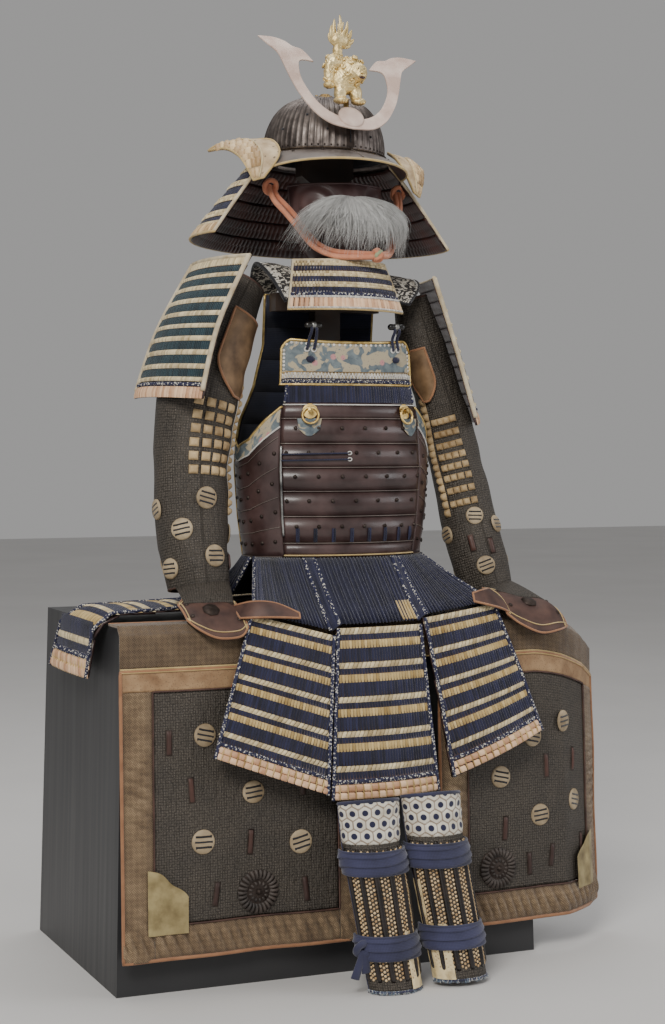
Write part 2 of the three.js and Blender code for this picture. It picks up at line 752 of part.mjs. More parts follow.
function visor() {
  const { half, rim, sideReach, frontReach, sideDrop, frontLift } = VISOR;
  const surface = (s, t, out) => {
    const degrees = lerp(-half, half, s);
    const front = Math.cos(THREE.MathUtils.degToRad((degrees / half) * 90));
    const reach = rim + t * (sideReach + frontReach * front ** 0.8);
    const drop = t * (sideDrop - frontLift * front);
    const x = HELMET.halfWidth + reach;
    const y = HELMET.halfLength + reach;
    return roundHead(degrees, x, y, HELMET.base + 1 - drop + out);
  };
  return wall(surface, { across: spread(12), down: spread(2), thickness: IRON });
}

// Neck guard: laced lames that flare out round the sides and back.
const NECK_GUARD = { half: 106, top: 1382, bottom: 1240, topRadius: 119, bottomRadius: 230, lames: 5 };

function neckGuard() {
  const { half, top, bottom, topRadius, bottomRadius } = NECK_GUARD;
  const surface = (s, t, out) => {
    const degrees = 180 + lerp(-half, half, s);
    const radius = lerp(topRadius, bottomRadius, t ** 0.9) + out * 0.8;
    const back = 1 + 0.1 * t * Math.cos(THREE.MathUtils.degToRad(degrees - 180));
    return roundHead(degrees, radius, radius * back, lerp(top, bottom, t) + out * 0.6);
  };
  return lames(surface, NECK_GUARD.lames, { across: spread(14), thickness: LAME, step: 3 });
}

// Turn-backs: the front ends of the top lame, folded out and back in a curl.
const TURN_BACKS = {
  right: [
    { left: [-166, -104, 1338], right: [-152, -116, 1342], bow: 1, outward: [-0.5, -0.85, 0.1] },
    { left: [-178, -88, 1370], right: [-128, -124, 1378], bow: 4, outward: [-0.4, -0.8, 0.4] },
    { left: [-184, -60, 1390], right: [-121, -100, 1403], bow: 6, outward: [-0.3, -0.5, 0.8] },
    { left: [-192, -26, 1402], right: [-127, -56, 1418], bow: 7, outward: [-0.2, -0.3, 1] },
    { left: [-208, 10, 1402], right: [-172, -10, 1414], bow: 5, outward: [-0.2, -0.2, 1] },
  ],
  left: [
    { left: [134, -116, 1330], right: [150, -104, 1324], bow: 1, outward: [0.5, -0.85, 0.1] },
    { left: [110, -124, 1368], right: [166, -86, 1356], bow: 4, outward: [0.4, -0.8, 0.4] },
    { left: [103, -100, 1393], right: [176, -64, 1372], bow: 6, outward: [0.3, -0.5, 0.8] },
    { left: [110, -56, 1407], right: [190, -34, 1380], bow: 7, outward: [0.3, -0.3, 1] },
    { left: [158, -10, 1400], right: [206, 0, 1374], bow: 5, outward: [0.4, -0.2, 1] },
  ],
};

add('helmet_bowl', bowl(), FINISH.blackIron);
add('helmet_visor', visor(), FINISH.brownLacquer);
add('neck_guard', neckGuard(), FINISH.navyLacing);
Object.entries(TURN_BACKS).forEach(([side, rows]) => {
  const surface = rowSurface(rows, [0, -1, 0]);
  const geometry = wall(surface, { across: spread(4), down: spread(8), thickness: 3 });
  add(`turn_back_${side}`, geometry, FINISH.printedLeather);
});

// Horns: one forked plate with an inner barb on each arm, and the disc that covers its foot.
const HORN_ARM = {
  outer: [[0, -2], [38, 4], [66, 27], [88, 66], [100, 100], [109, 134], [117, 160], [134, 178]],
  inner: [[148, 193], [120, 195], [100, 189], [88, 180], [70, 174], [53, 150], [67, 151], [78, 147],
    [82, 132], [80, 100], [65, 62], [45, 36], [20, 22]],
};

function hornsGeometry() {
  const arm = [...HORN_ARM.outer, ...HORN_ARM.inner];
  const mirrored = [...arm].reverse().map(([x, y]) => [-x, y]).filter(([x]) => x !== 0);
  const plate = extruded(outlineShape([...arm, ...mirrored]), HORNS.thickness);
  const disc = new THREE.CylinderGeometry(HORNS.disc, HORNS.disc, HORNS.thickness, 24);
  disc.rotateX(Math.PI / 2);
  disc.translate(0, 24, HORNS.thickness * 1.3);
  const fork = joined([plate, disc]);
  fork.rotateZ(THREE.MathUtils.degToRad(-HORNS.roll));
  fork.rotateX(THREE.MathUtils.degToRad(90 - HORNS.lean));
  fork.translate(HORNS.x, HORNS.y, HORNS.z);
  return fork;
}

// Crest: a lion standing on its forepaws with its tail in the air, built of rounded lumps.
const LION = [
  { part: 'paws', x: -2, y: -4, z: 6, rx: 30, ry: 14, rz: 6 },
  { part: 'forelegs', x: -2, y: 0, z: 24, rx: 25, ry: 12, rz: 22 },
  { part: 'mane', x: 0, y: 2, z: 58, rx: 27, ry: 18, rz: 26 },
  { part: 'head', x: 9, y: -12, z: 56, rx: 17, ry: 17, rz: 16 },
  { part: 'hind_leg', x: -38, y: 2, z: 56, rx: 10, ry: 9, rz: 32 },
  { part: 'rump', x: -24, y: 4, z: 84, rx: 22, ry: 14, rz: 14 },
  { part: 'tail', x: -18, y: 4, z: 106, rx: 24, ry: 12, rz: 19 },
  { part: 'flame', x: -19, y: 4, z: 134, rx: 13, ry: 7, rz: 20 },
];

function lionGeometry() {
  const lumps = LION.map(({ x, y, z, rx, ry, rz }) => {
    const lump = new THREE.SphereGeometry(1, 8, 6);
    lump.scale(rx, ry, rz);
    lump.rotateZ(0.11);
    lump.translate(x, y, z);
    return lump;
  });
  const geometry = joined(lumps);
  geometry.translate(CREST_FOOT.x, CREST_FOOT.y, CREST_FOOT.z);
  return geometry;
}

add('horns', hornsGeometry(), FINISH.copperMetal);
add('lion_crest', lionGeometry(), FINISH.goldMetal);

// ---- mask, moustache, throat guard and helmet cord --------------------------------------------

const MASK_CENTRE = { x: 5, y: -52 };
const MASK = [
  { z: 1212, halfWidth: 48, halfDepth: 72 },
  { z: 1230, halfWidth: 62, halfDepth: 84 },
  { z: 1262, halfWidth: 76, halfDepth: 90 },
  { z: 1300, halfWidth: 84, halfDepth: 84 },
  { z: 1338, halfWidth: 87, halfDepth: 70 },
];

function mask(degrees, z, out) {
  const angle = THREE.MathUtils.degToRad(degrees);
  const a = tableAt(MASK, 'z', z, 'halfWidth') + out;
  const b = tableAt(MASK, 'z', z, 'halfDepth') + out;
  return vec(MASK_CENTRE.x + a * Math.sin(angle), MASK_CENTRE.y - b * Math.cos(angle), z);
}

// A half mask of calm, regular form from the nose to the chin.
function faceMask() {
  const surface = (s, t, out) => {
    const degrees = lerp(-88, 88, s);
    const nose = 12 * Math.exp(-((degrees / 16) ** 2)) * Math.exp(-(((t - 0.12) / 0.22) ** 2));
    return mask(degrees, lerp(1338, 1212, t), out + nose);
  };
  return wall(surface, { across: spread(16), down: spread(6), thickness: 3 });
}

// The reach of the moustache hair: narrow under the nose, wide and ragged at its hem.
function moustache() {
  const surface = (s, t, out) => {
    const half = lerp(34, 84, Math.min(1, t * 1.6));
    const degrees = lerp(-half, half, s);
    const side = Math.abs(2 * s - 1);
    const top = 1322 - 34 * side ** 1.6;
    const bottom = 1232 - 8 * side;
    const z = lerp(top, bottom, t);
    const clear = 42 + 14 * Math.sin(Math.PI * Math.min(1, t * 0.9)) * (1 - 0.4 * side);
    return mask(degrees, Math.max(z, 1258), out + clear + 6 * side * t).setZ(z);
  };
  return wall(surface, { across: spread(10), down: spread(4), thickness: 12 });
}

const THROAT = [
  { left: [-100, -118, 1202], right: [74, -118, 1200], bow: 44 },
  { left: [-110, -132, 1158], right: [88, -130, 1156], bow: 50 },
  { left: [-118, -140, 1116], right: [100, -138, 1114], bow: 54 },
];

const HELMET_CORD = [
  [-118, -62, 1336], [-114, -74, 1314], [-98, -90, 1290], [-84, -102, 1268], [-72, -114, 1246],
  [-58, -130, 1226], [-36, -154, 1213], [0, -178, 1210], [32, -180, 1210], [60, -160, 1213],
  [80, -132, 1226], [92, -116, 1246], [102, -102, 1268], [114, -88, 1290], [122, -74, 1314],
  [124, -62, 1336],
];

add('face_mask', faceMask(), FINISH.brownLacquer);
add('moustache', moustache(), FINISH.moustache);
const throat = lames(rowSurface(THROAT, [0, -1, 0]), 4, { across: spread(8), thickness: LAME, step: 2 });
add('throat_guard', throat, FINISH.navyLacing);
add('helmet_cord', cordGeometry(HELMET_CORD, 6, 8, 30), FINISH.orangeCord);

// ---- thigh apron --------------------------------------------------------------------------------

// The apron's run seen from above, as lengths along it and the direction of each length. Its
// left half turns back round the plinth's corner, and droops where nothing is under it.
const APRON_RUN = [
  { length: 560, turn: 0 },
  { length: 96, turn: 1 },
  { length: 80, turn: 3 },
  { length: 80, turn: 10 },
  { length: 72, turn: 30 },
  { length: 62, turn: 44 },
];
const APRON_START = { x: -450, y: -247 };
const APRON_LENGTH = APRON_RUN.reduce((sum, run) => sum + run.length, 0);
const APRON_DROOP = { from: 752, drop: 66 };
const APRON_HALVES = { right: { from: 0, to: 430 }, left: { from: 566, to: APRON_LENGTH } };

function apronTurn(length) {
  let rest = length;
  const run = APRON_RUN.find((piece) => {
    rest -= piece.length;
    return rest <= 0;
  });
  return THREE.MathUtils.degToRad((run ?? APRON_RUN[APRON_RUN.length - 1]).turn);
}

function apronInwards(length) {
  const turn = apronTurn(length);
  return vec(-Math.sin(turn), Math.cos(turn), 0);
}

function apron(length, height, out) {
  const p = vec(APRON_START.x, APRON_START.y, 0);
  let rest = length;
  for (const run of APRON_RUN) {
    const step = Math.min(rest, run.length);
    const turn = THREE.MathUtils.degToRad(run.turn);
    p.add(vec(Math.cos(turn) * step, Math.sin(turn) * step, 0));
    rest -= step;
    if (rest <= 0) break;
  }
  const hem = (APRON.top - height) / (APRON.top - APRON.bottom);
  const past = Math.max(0, length - APRON_DROOP.from) / (APRON_LENGTH - APRON_DROOP.from);
  const lean = 16 * hem;
  p.z = height - APRON_DROOP.drop * past ** 1.5 * (1 - hem);
  return p.addScaledVector(apronInwards(length), -out - lean);
}

// Columns of the apron's cloth stand at shared stations, so that sewn edges meet.
function stations(from, to) {
  const pitch = 47.5;
  const inner = spread(Math.round(APRON_LENGTH / pitch), 0, APRON_LENGTH);
  return [from, ...inner.filter((length) => length > from + 1 && length < to - 1), to];
}

// Mail panel inside its borders.
function thighPanel({ from, to }) {
  const { border, band, bandHeight, bottom, wall: thickness } = APRON;
  const gap = 3 * SEAM;
  const surface = (s, t, out) => {
    const height = lerp(band - bandHeight - gap, bottom + border + gap, t);
    return apron(s, height, out - 0.6);
  };
  const across = stations(from + border + gap, to - border - gap);
  return wall(surface, { across, down: spread(3), thickness: thickness - 1 });
}

// Brocade border down both sides and along the hem, with the leather band across the top.
function thighBorder({ from, to }) {
  const { border, band, bandHeight, bottom, wall: thickness } = APRON;
  const opening = spread(3, band - bandHeight, bottom + border);
  const heights = [band, ...opening, bottom];
  const sheet = wall(apron, { across: stations(from, to), down: heights, thickness });
  const cutter = wall(apron, {
    across: stations(from + border, to - border),
    down: opening,
    thickness: thickness + 8,
    proud: () => 8,
  });
  return fromSolid(toSolid(sheet).subtract(toSolid(cutter)));
}

// Waist band: above the leather band, over the plinth's front edge and back along its top.
const WAIST_ROWS = [
  { back: 60, height: 593.6 },
  { back: 28, height: 593.6 },
  { back: 14, height: 593.6 },
  { back: -1, height: APRON.top },
  { back: 0, height: APRON.band + 3 * SEAM },
];

function thighWaist() {
  const surface = (length, t, out) => {
    const { back, height } = WAIST_ROWS[t];
    const overhang = Math.max(0, length - APRON_DROOP.from) / (APRON_LENGTH - APRON_DROOP.from);
    const reach = back > 14 ? lerp(back, 20, Math.min(1, overhang * 3)) : back;
    if (back <= 0) return apron(length, height, out - back);
    return apron(length, height, 0).addScaledVector(apronInwards(length), reach).add(vec(0, 0, out));
  };
  const down = WAIST_ROWS.map((row, i) => i);
  return wall(surface, { across: stations(0, APRON_LENGTH), down, thickness: APRON.wall });
}

Object.entries(APRON_HALVES).forEach(([side, half]) => {
  add(`thigh_panel_${side}`, thighPanel(half), FINISH.mailCloth);
  add(`thigh_border_${side}`, thighBorder(half), FINISH.brocade);
});
add('thigh_waist', thighWaist(), FINISH.brocade);

// ---- shin guards ----------------------------------------------------------------------------

// Open-backed shells that lean against the apron. Rows run from the knee to the ankle.
const SHINS = {
  right: [
    { x: -49, y: -320, z: 306, halfWidth: 53, depth: 32 },
    { x: -47, y: -326, z: 234, halfWidth: 50, depth: 34 },
    { x: -38, y: -338, z: 160, halfWidth: 49, depth: 34 },
    { x: -30, y: -352, z: 80, halfWidth: 47, depth: 32 },
    { x: -22, y: -368, z: 3, halfWidth: 45, depth: 30 },
  ],
  left: [
    { x: 64, y: -320, z: 310, halfWidth: 52, depth: 32 },
    { x: 69, y: -326, z: 238, halfWidth: 50, depth: 34 },
    { x: 77, y: -338, z: 165, halfWidth: 49, depth: 34 },
    { x: 87, y: -352, z: 88, halfWidth: 48, depth: 32 },
    { x: 96, y: -368, z: 10, halfWidth: 47, depth: 30 },
  ],
};

function shinSurface(rows, z, degrees, out) {
  const at = (column) => tableAt(rows, 'z', z, column);
  const angle = THREE.MathUtils.degToRad(degrees);
  const x = at('x') + (at('halfWidth') + out) * Math.sin(angle);
  return vec(x, at('y') - (at('depth') + out) * Math.cos(angle), z);
}

function shinShell(rows, top, bottom, { out = 0, half = 96, thickness = 3, arch = 0, down = 3 }) {
  const surface = (s, t, offset) => {
    const degrees = lerp(-half, half, s);
    const rise = arch * Math.cos(THREE.MathUtils.degToRad(degrees * 0.9));
    const z = lerp(top + rise, bottom, t);
    return shinSurface(rows, z, degrees, offset + out);
  };
  return wall(surface, { across: spread(8), down: spread(down), thickness });
}

Object.entries(SHINS).forEach(([side, rows]) => {
  const top = rows[0].z;
  const bottom = rows[rows.length - 1].z;
  const knee = top - 70;
  add(`knee_cloth_${side}`, shinShell(rows, top - 8, knee + SEAM, { arch: 8 }), FINISH.knottedCloth);
  add(`shin_guard_${side}`, shinShell(rows, knee, bottom, { thickness: 4 }), FINISH.blackLacquer);
  const bands = [
    { name: 'upper', top: top - 82, height: 36 },
    { name: 'lower', top: bottom + 88, height: 36 },
  ];
  bands.forEach(({ name, top: edge, height }) => {
    const band = shinShell(rows, edge, edge - height, { out: 6, half: 104, thickness: 4.4, down: 1 });
    add(`shin_tie_${name}_${side}`, band, FINISH.indigoCloth);
  });
});

export default armour;
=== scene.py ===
# Samurai armour seated on its plinth: finishes, cloth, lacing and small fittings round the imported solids.
# Tables are in millimetres in the armour's own frame and become metres when a mesh is made.
# "right" and "left" are the wearer's; right is the -X side.
import math
import random

import bpy
import numpy as np
from mathutils import Euler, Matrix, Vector


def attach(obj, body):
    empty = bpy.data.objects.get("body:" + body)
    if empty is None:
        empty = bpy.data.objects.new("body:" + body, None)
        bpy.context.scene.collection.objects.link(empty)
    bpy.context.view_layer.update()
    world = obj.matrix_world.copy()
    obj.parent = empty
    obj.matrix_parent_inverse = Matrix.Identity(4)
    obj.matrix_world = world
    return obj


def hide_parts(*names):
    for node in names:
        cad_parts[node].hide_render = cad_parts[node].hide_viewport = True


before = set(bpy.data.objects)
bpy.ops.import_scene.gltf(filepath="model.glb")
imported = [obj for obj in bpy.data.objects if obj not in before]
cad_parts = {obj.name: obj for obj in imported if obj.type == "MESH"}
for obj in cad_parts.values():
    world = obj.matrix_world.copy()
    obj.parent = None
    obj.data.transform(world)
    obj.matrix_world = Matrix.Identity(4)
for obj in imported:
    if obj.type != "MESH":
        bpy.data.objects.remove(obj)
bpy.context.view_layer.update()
BODY = "armour"
MM = 0.001
SEAM = 0.3
TURN = 2 * math.pi


def shares(count):
    """Even shares from start to end."""
    return np.linspace(0, 1, count)


def turns_of(count):
    """Even angles round a ring."""
    return np.linspace(0, TURN, count, endpoint=False)


def show(thing):
    bpy.context.scene.collection.objects.link(thing)


# ---- camera, light and floor ------------------------------------------------------------------


def make_camera():
    data = bpy.data.cameras.new("camera")
    data.lens = 68.34
    data.sensor_width = 36
    data.shift_x = 0.0132
    data.shift_y = -0.0703
    camera = bpy.data.objects.new("camera", data)
    show(camera)
    turn = math.radians(23)
    ahead = Vector((math.sin(turn), math.cos(turn), 0))
    camera.location = (-1.3676, -3.2218, 0.892)
    camera.rotation_euler = ahead.to_track_quat("-Z", "Y").to_euler()
    bpy.context.scene.camera = camera


def area_light(name, place, aim, size, power, colour=(1, 1, 1)):
    data = bpy.data.lights.new(name, "AREA")
    data.shape = "RECTANGLE"
    data.size, data.size_y = size
    data.energy = power
    data.color = colour
    light = bpy.data.objects.new(name, data)
    show(light)
    light.location = place
    light.rotation_euler = (Vector(aim) - Vector(place)).to_track_quat("-Z", "Y").to_euler()


def make_studio():
    world = bpy.data.worlds.new("studio")
    world.use_nodes = True
    bpy.context.scene.world = world
    background = world.node_tree.nodes["Background"]
    background.inputs["Color"].default_value = (0.92, 0.91, 0.9, 1)
    background.inputs["Strength"].default_value = 0.38
    area_light("key", (-2.6, -3.4, 3.6), (-0.05, 0, 0.9), (2.0, 1.6), 190, (1, 0.97, 0.92))
    area_light("fill", (3.2, -2.4, 2.0), (0, 0, 0.8), (2.0, 2.0), 42, (0.98, 0.98, 1))
    area_light("top", (0.2, 0.6, 4.2), (0, 0, 1), (2.4, 2.4), 60)
    mesh = bpy.data.meshes.new("floor")
    reach = 14
    mesh.from_pydata(
        [(-reach, -reach, 0), (reach, -reach, 0), (reach, reach, 0), (-reach, reach, 0)], [], [(0, 1, 2, 3)]
    )
    floor = bpy.data.objects.new("floor", mesh)
    show(floor)
    return floor


make_camera()
floor = make_studio()

# ---- finishes ---------------------------------------------------------------------------------


class Finish:
    """A material and short ways to add the nodes that colour it."""

    def __init__(self, name, colour, rough=0.5, metal=0.0, **sockets):
        self.material = bpy.data.materials.new(name)
        self.material.use_nodes = True
        self.tree = self.material.node_tree
        self.shader = self.tree.nodes["Principled BSDF"]
        self.set("Base Color", colour)
        self.set("Roughness", rough)
        self.set("Metallic", metal)
        for key, value in sockets.items():
            self.set(key.replace("_", " "), value)
        self.coordinates = self.node("ShaderNodeTexCoord").outputs["Object"]

    def node(self, kind, **settings):
        made = self.tree.nodes.new(kind)
        for key, value in settings.items():
            setattr(made, key, value)
        return made

    def put(self, value, socket):
        if isinstance(value, bpy.types.NodeSocket):
            self.tree.links.new(value, socket)
        elif isinstance(value, (tuple, list)) and socket.type == "RGBA" and len(value) == 3:
            socket.default_value = (*value, 1)
        else:
            socket.default_value = value

    def set(self, name, value):
        self.put(value, self.shader.inputs[name])

    def attribute(self, name, part="Vector"):
        return self.node("ShaderNodeAttribute", attribute_name=name).outputs[part]

    def stretched(self, vector, scale):
        made = self.node("ShaderNodeMapping")
        self.put(vector, made.inputs["Vector"])
        made.inputs["Scale"].default_value = scale
        return made.outputs["Vector"]

    def noise(self, scale, detail=3, rough=0.55, vector=None, distortion=0.0):
        made = self.node("ShaderNodeTexNoise")
        self.put(vector or self.coordinates, made.inputs["Vector"])
        made.inputs["Scale"].default_value = scale
        made.inputs["Detail"].default_value = detail
        made.inputs["Roughness"].default_value = rough
        made.inputs["Distortion"].default_value = distortion
        return made.outputs["Fac"]

    def cells(self, scale, vector=None, feature="F1", output="Distance", random=1.0):
        made = self.node("ShaderNodeTexVoronoi", feature=feature)
        self.put(vector or self.coordinates, made.inputs["Vector"])
        made.inputs["Scale"].default_value = scale
        made.inputs["Randomness"].default_value = random
        return made.outputs[output]

    def wave(self, scale, vector=None, direction="X", profile="SIN", distortion=0.0):
        made = self.node("ShaderNodeTexWave", bands_direction=direction, wave_profile=profile)
        self.put(vector or self.coordinates, made.inputs["Vector"])
        made.inputs["Scale"].default_value = scale
        made.inputs["Distortion"].default_value = distortion
        return made.outputs["Fac"]

    def math(self, operation, a, b=0.5, clamp=False):
        made = self.node("ShaderNodeMath", operation=operation, use_clamp=clamp)
        self.put(a, made.inputs[0])
        self.put(b, made.inputs[1])
        return made.outputs[0]

    def ramp(self, value, *stops):
        made = self.node("ShaderNodeValToRGB")
        self.put(value, made.inputs["Fac"])
        elements = made.color_ramp.elements
        while len(elements) < len(stops):
            elements.new(0.5)
        for element, (place, colour) in zip(elements, stops):
            element.position = place
            shade = (colour,) * 3 if isinstance(colour, (int, float)) else colour
            element.color = (*shade, 1)
        return made.outputs["Color"]

    def mix(self, share, a, b, blend="MIX"):
        made = self.node("ShaderNodeMix", data_type="RGBA", blend_type=blend)
        for value, index in ((share, 0), (a, 6), (b, 7)):
            self.put(value, made.inputs[index])
        return made.outputs[2]

    def bump(self, height, strength=0.4, distance=0.5):
        made = self.node("ShaderNodeBump")
        self.put(height, made.inputs["Height"])
        made.inputs["Strength"].default_value = strength
        made.inputs["Distance"].default_value = distance * MM
        previous = self.shader.inputs["Normal"]
        if previous.is_linked:
            self.put(previous.links[0].from_socket, made.inputs["Normal"])
        self.put(made.outputs["Normal"], previous)

    def worn(self, dark, light, scale, low=0.35, high=0.7, detail=4):
        """Colour that drifts between two shades."""
        self.set("Base Color", self.ramp(self.noise(scale, detail), (low, dark), (high, light)))


def cord_finish(name, dark, light, pitch=900, rough=0.75):
    """Braided silk: small slanting strands and a soft drift of shade."""
    f = Finish(name, dark, rough, Sheen_Weight=0.25, Sheen_Roughness=0.4)
    shade = f.attribute("shade", "Fac")
    drift = f.math("ADD", f.math("MULTIPLY", f.noise(38, 3), 0.7), f.math("MULTIPLY", shade, 0.45))
    f.set("Base Color", f.ramp(drift, (0.25, dark), (0.8, light)))
    f.bump(f.wave(pitch, direction="DIAGONAL", distortion=1.5), 0.45, 0.5)
    return f.material


def leather_finish(name, dark, light, rough=0.6, grain=420):
    f = Finish(name, dark, rough)
    f.worn(dark, light, 26)
    f.bump(f.cells(grain), 0.25, 0.4)
    f.bump(f.noise(60, 5), 0.2, 0.8)
    return f.material


def lacquer_finish(name, dark, light, rough=0.32, metal=0.0, scratch=0.25):
    f = Finish(name, dark, rough, metal, Coat_Weight=0.35, Coat_Roughness=0.2)
    f.worn(dark, light, 17, 0.38, 0.72)
    f.set("Roughness", f.ramp(f.noise(34, 5), (0.3, rough), (0.75, min(0.95, rough + 0.3))))
    f.bump(f.noise(300, 4), scratch, 0.25)
    f.bump(f.noise(24, 3), 0.15, 1.2)
    return f.material


def metal_finish(name, dark, light, rough=0.35, hammer=0.2):
    f = Finish(name, light, rough, 1.0)
    f.worn(dark, light, 45, 0.3, 0.62, 6)
    f.set("Roughness", f.ramp(f.noise(80, 5), (0.3, rough), (0.8, min(0.9, rough + 0.3))))
    f.bump(f.noise(150, 4), hammer, 0.4)
    return f.material


def woven_finish(name, dark, light, thread=1.6, rough=0.85, drift=0.5):
    """Plain cloth: crossed threads of a real width in millimetres."""
    f = Finish(name, dark, rough, Sheen_Weight=0.3, Sheen_Roughness=0.5)
    turns = 1000 / thread / 20 * math.pi
    lay = f.attribute("lay")
    warp = f.wave(turns, lay, "X")
    weft = f.wave(turns, lay, "Y")
    weave = f.math("MULTIPLY", warp, weft)
    shade = f.math("ADD", f.math("MULTIPLY", f.noise(14, 4), drift + 0.3), f.math("MULTIPLY", weave, 0.35))
    f.set("Base Color", f.ramp(shade, (0.25, dark), (0.75, light)))
    f.bump(weave, 0.35, 0.5)
    return f.material


def plinth_finish():
    f = Finish("plinth_paint", (0.028, 0.028, 0.03), 0.5)
    f.worn((0.026, 0.0265, 0.0285), (0.031, 0.031, 0.033), 3.0)
    f.set(
        "Roughness",
        f.ramp(f.noise(60, 4, 0.5, f.stretched(f.coordinates, (1, 1, 0.03))), (0.3, 0.4), (0.7, 0.5))
    )
    f.bump(f.noise(260, 4), 0.12, 0.3)
    return f.material


def speckled_finish():
    """Braid of navy and white threads."""
    f = Finish("speckled_braid", (0.02, 0.022, 0.06), 0.8)
    spots = f.cells(260)
    f.set("Base Color", f.ramp(spots, (0.28, (0.6, 0.58, 0.52)), (0.42, (0.02, 0.022, 0.06))))
    f.bump(spots, 0.5, 0.6)
    return f.material


def printed_leather_finish():
    """Blue-grey deer leather with a scattered print of cream clouds and small pink blooms."""
    f = Finish("printed_leather", (0.3, 0.34, 0.35), 0.72)
    lay = f.attribute("lay")
    ground = f.ramp(f.noise(70, 4), (0.3, (0.075, 0.1, 0.12)), (0.7, (0.2, 0.24, 0.25)))
    cloud = f.ramp(f.noise(52, 2, 0.4, lay, 0.8), (0.5, 0), (0.53, 1))
    clouded = f.mix(cloud, ground, (0.42, 0.36, 0.25))
    bloom = f.ramp(f.cells(30, lay), (0.13, 1), (0.17, 0))
    bloomed = f.mix(bloom, clouded, (0.5, 0.24, 0.24))
    dots = f.ramp(f.cells(240, lay), (0.16, 1), (0.22, 0))
    f.set("Base Color", f.mix(f.math("MULTIPLY", dots, 0.5), bloomed, (0.05, 0.06, 0.1)))
    f.bump(f.noise(300, 3), 0.25, 0.3)
    return f.material


def cream_leather_finish():
    """Cream leather with a small dark sprig print."""
    f = Finish("cream_leather", (0.6, 0.52, 0.38), 0.7)
    lay = f.attribute("lay")
    ground = f.ramp(f.noise(40, 4), (0.3, (0.42, 0.33, 0.2)), (0.7, (0.7, 0.62, 0.46)))
    sprig = f.ramp(f.noise(150, 2, 0.5, lay, 1.4), (0.56, 0), (0.6, 1))
    f.set("Base Color", f.mix(f.math("MULTIPLY", sprig, 0.75), ground, (0.09, 0.07, 0.06)))
    f.bump(f.noise(260, 3), 0.25, 0.3)
    return f.material


def tan_leather_finish():
    """Tan deer leather with a few small dark sprigs."""
    f = Finish("tan_leather", (0.55, 0.42, 0.25), 0.68)
    lay = f.attribute("lay")
    ground = f.ramp(f.noise(50, 5), (0.3, (0.34, 0.23, 0.12)), (0.7, (0.68, 0.54, 0.35)))
    sprig = f.ramp(f.cells(80, lay), (0.16, 1), (0.2, 0))
    f.set("Base Color", f.mix(f.math("MULTIPLY", sprig, 0.8), ground, (0.06, 0.04, 0.03)))
    f.bump(f.noise(260, 3), 0.3, 0.4)
    return f.material


def band_leather_finish():
    """Tan stencilled leather of the apron's band, with faint rust blooms."""
    f = Finish("band_leather", (0.4, 0.3, 0.18), 0.72)
    lay = f.attribute("lay")
    ground = f.ramp(f.noise(32, 5), (0.3, (0.21, 0.115, 0.055)), (0.72, (0.43, 0.28, 0.15)))
    dots = f.ramp(f.cells(290, lay), (0.2, 1), (0.3, 0))
    dotted = f.mix(f.math("MULTIPLY", dots, 0.55), ground, (0.11, 0.075, 0.045))
    bloom = f.ramp(f.cells(26, lay), (0.14, 1), (0.19, 0))
    f.set("Base Color", f.mix(f.math("MULTIPLY", bloom, 0.6), dotted, (0.5, 0.16, 0.06)))
    f.bump(f.cells(420), 0.25, 0.3)
    return f.material


def brocade_finish():
    """Brown brocade: a basket of small ribbed blocks set on the slant, in two close shades, with painted
    shade in the valleys of the border's gathers.
    """
    f = Finish("brocade", (0.16, 0.1, 0.05), 0.8, Sheen_Weight=0.25, Sheen_Roughness=0.45)
    slant = f.node("ShaderNodeMapping")
    lay = f.attribute("lay")
    f.put(lay, slant.inputs["Vector"])
    slant.inputs["Rotation"].default_value = (0, 0, math.radians(45))
    slant.inputs["Scale"].default_value = (1, 1, 0)
    # The lay's third value is the height of the border's gathers: lower parts take a darker brown, painted
    # shade in the creases; where it is zero, as on the waist cloth, the colour leans to that shade.
    split = f.node("ShaderNodeSeparateXYZ")
    f.put(lay, split.inputs[0])
    ridge = f.ramp(f.math("ADD", f.math("MULTIPLY", split.outputs["Z"], 120), 0.3), (0.05, 0), (0.75, 1))
    turned_lay = slant.outputs["Vector"]
    block_maker = f.node("ShaderNodeTexChecker")
    f.put(turned_lay, block_maker.inputs["Vector"])
    block_maker.inputs["Scale"].default_value = 150
    block = block_maker.outputs["Fac"]
    ribs = f.mix(block, f.wave(118, turned_lay, "X"), f.wave(118, turned_lay, "Y"))
    drift = f.noise(24, 5, 0.6)
    thread = f.math("ADD", f.math("MULTIPLY", ribs, 0.24), f.math("MULTIPLY", block, 0.08))
    shade = f.math("ADD", thread, f.math("MULTIPLY", drift, 0.68))
    cloth = f.ramp(
        shade, (0.2, (0.06, 0.036, 0.02)), (0.52, (0.2, 0.132, 0.072)), (0.82, (0.4, 0.295, 0.175))
    )
    # Darker brown for the valleys of the gathers: painted shade.
    painted_valley_shade = f.ramp(shade, (0.2, (0.025, 0.014, 0.008)), (0.8, (0.13, 0.085, 0.048)))
    f.set("Base Color", f.mix(ridge, painted_valley_shade, cloth))
    f.bump(ribs, 0.7, 0.9)
    return f.material


def mail_finish():
    """Fine iron mail laid on dark cloth: rows of small interlocked rings over an uneven ground."""
    f = Finish("iron_mail", (0.03, 0.026, 0.023), 0.55, 0.2)
    lay = f.attribute("lay")
    ring = f.cells(230, lay, random=0.3)
    links = f.ramp(ring, (0.12, 0.12), (0.3, 1), (0.5, 0.15))
    tone = f.noise(26, 6, 0.65)
    dark = f.mix(tone, (0.01, 0.0085, 0.0075), (0.03, 0.024, 0.018))
    light = f.mix(tone, (0.07, 0.062, 0.054), (0.17, 0.142, 0.112))
    f.set("Base Color", f.mix(links, dark, light))
    f.bump(links, 0.8, 1.0)
    f.bump(f.noise(70, 5, 0.6), 0.6, 3.0)
    f.bump(f.noise(46, 3, 0.5, f.stretched(f.coordinates, (3.4, 3.4, 0.8))), 0.7, 4.0)
    return f.material


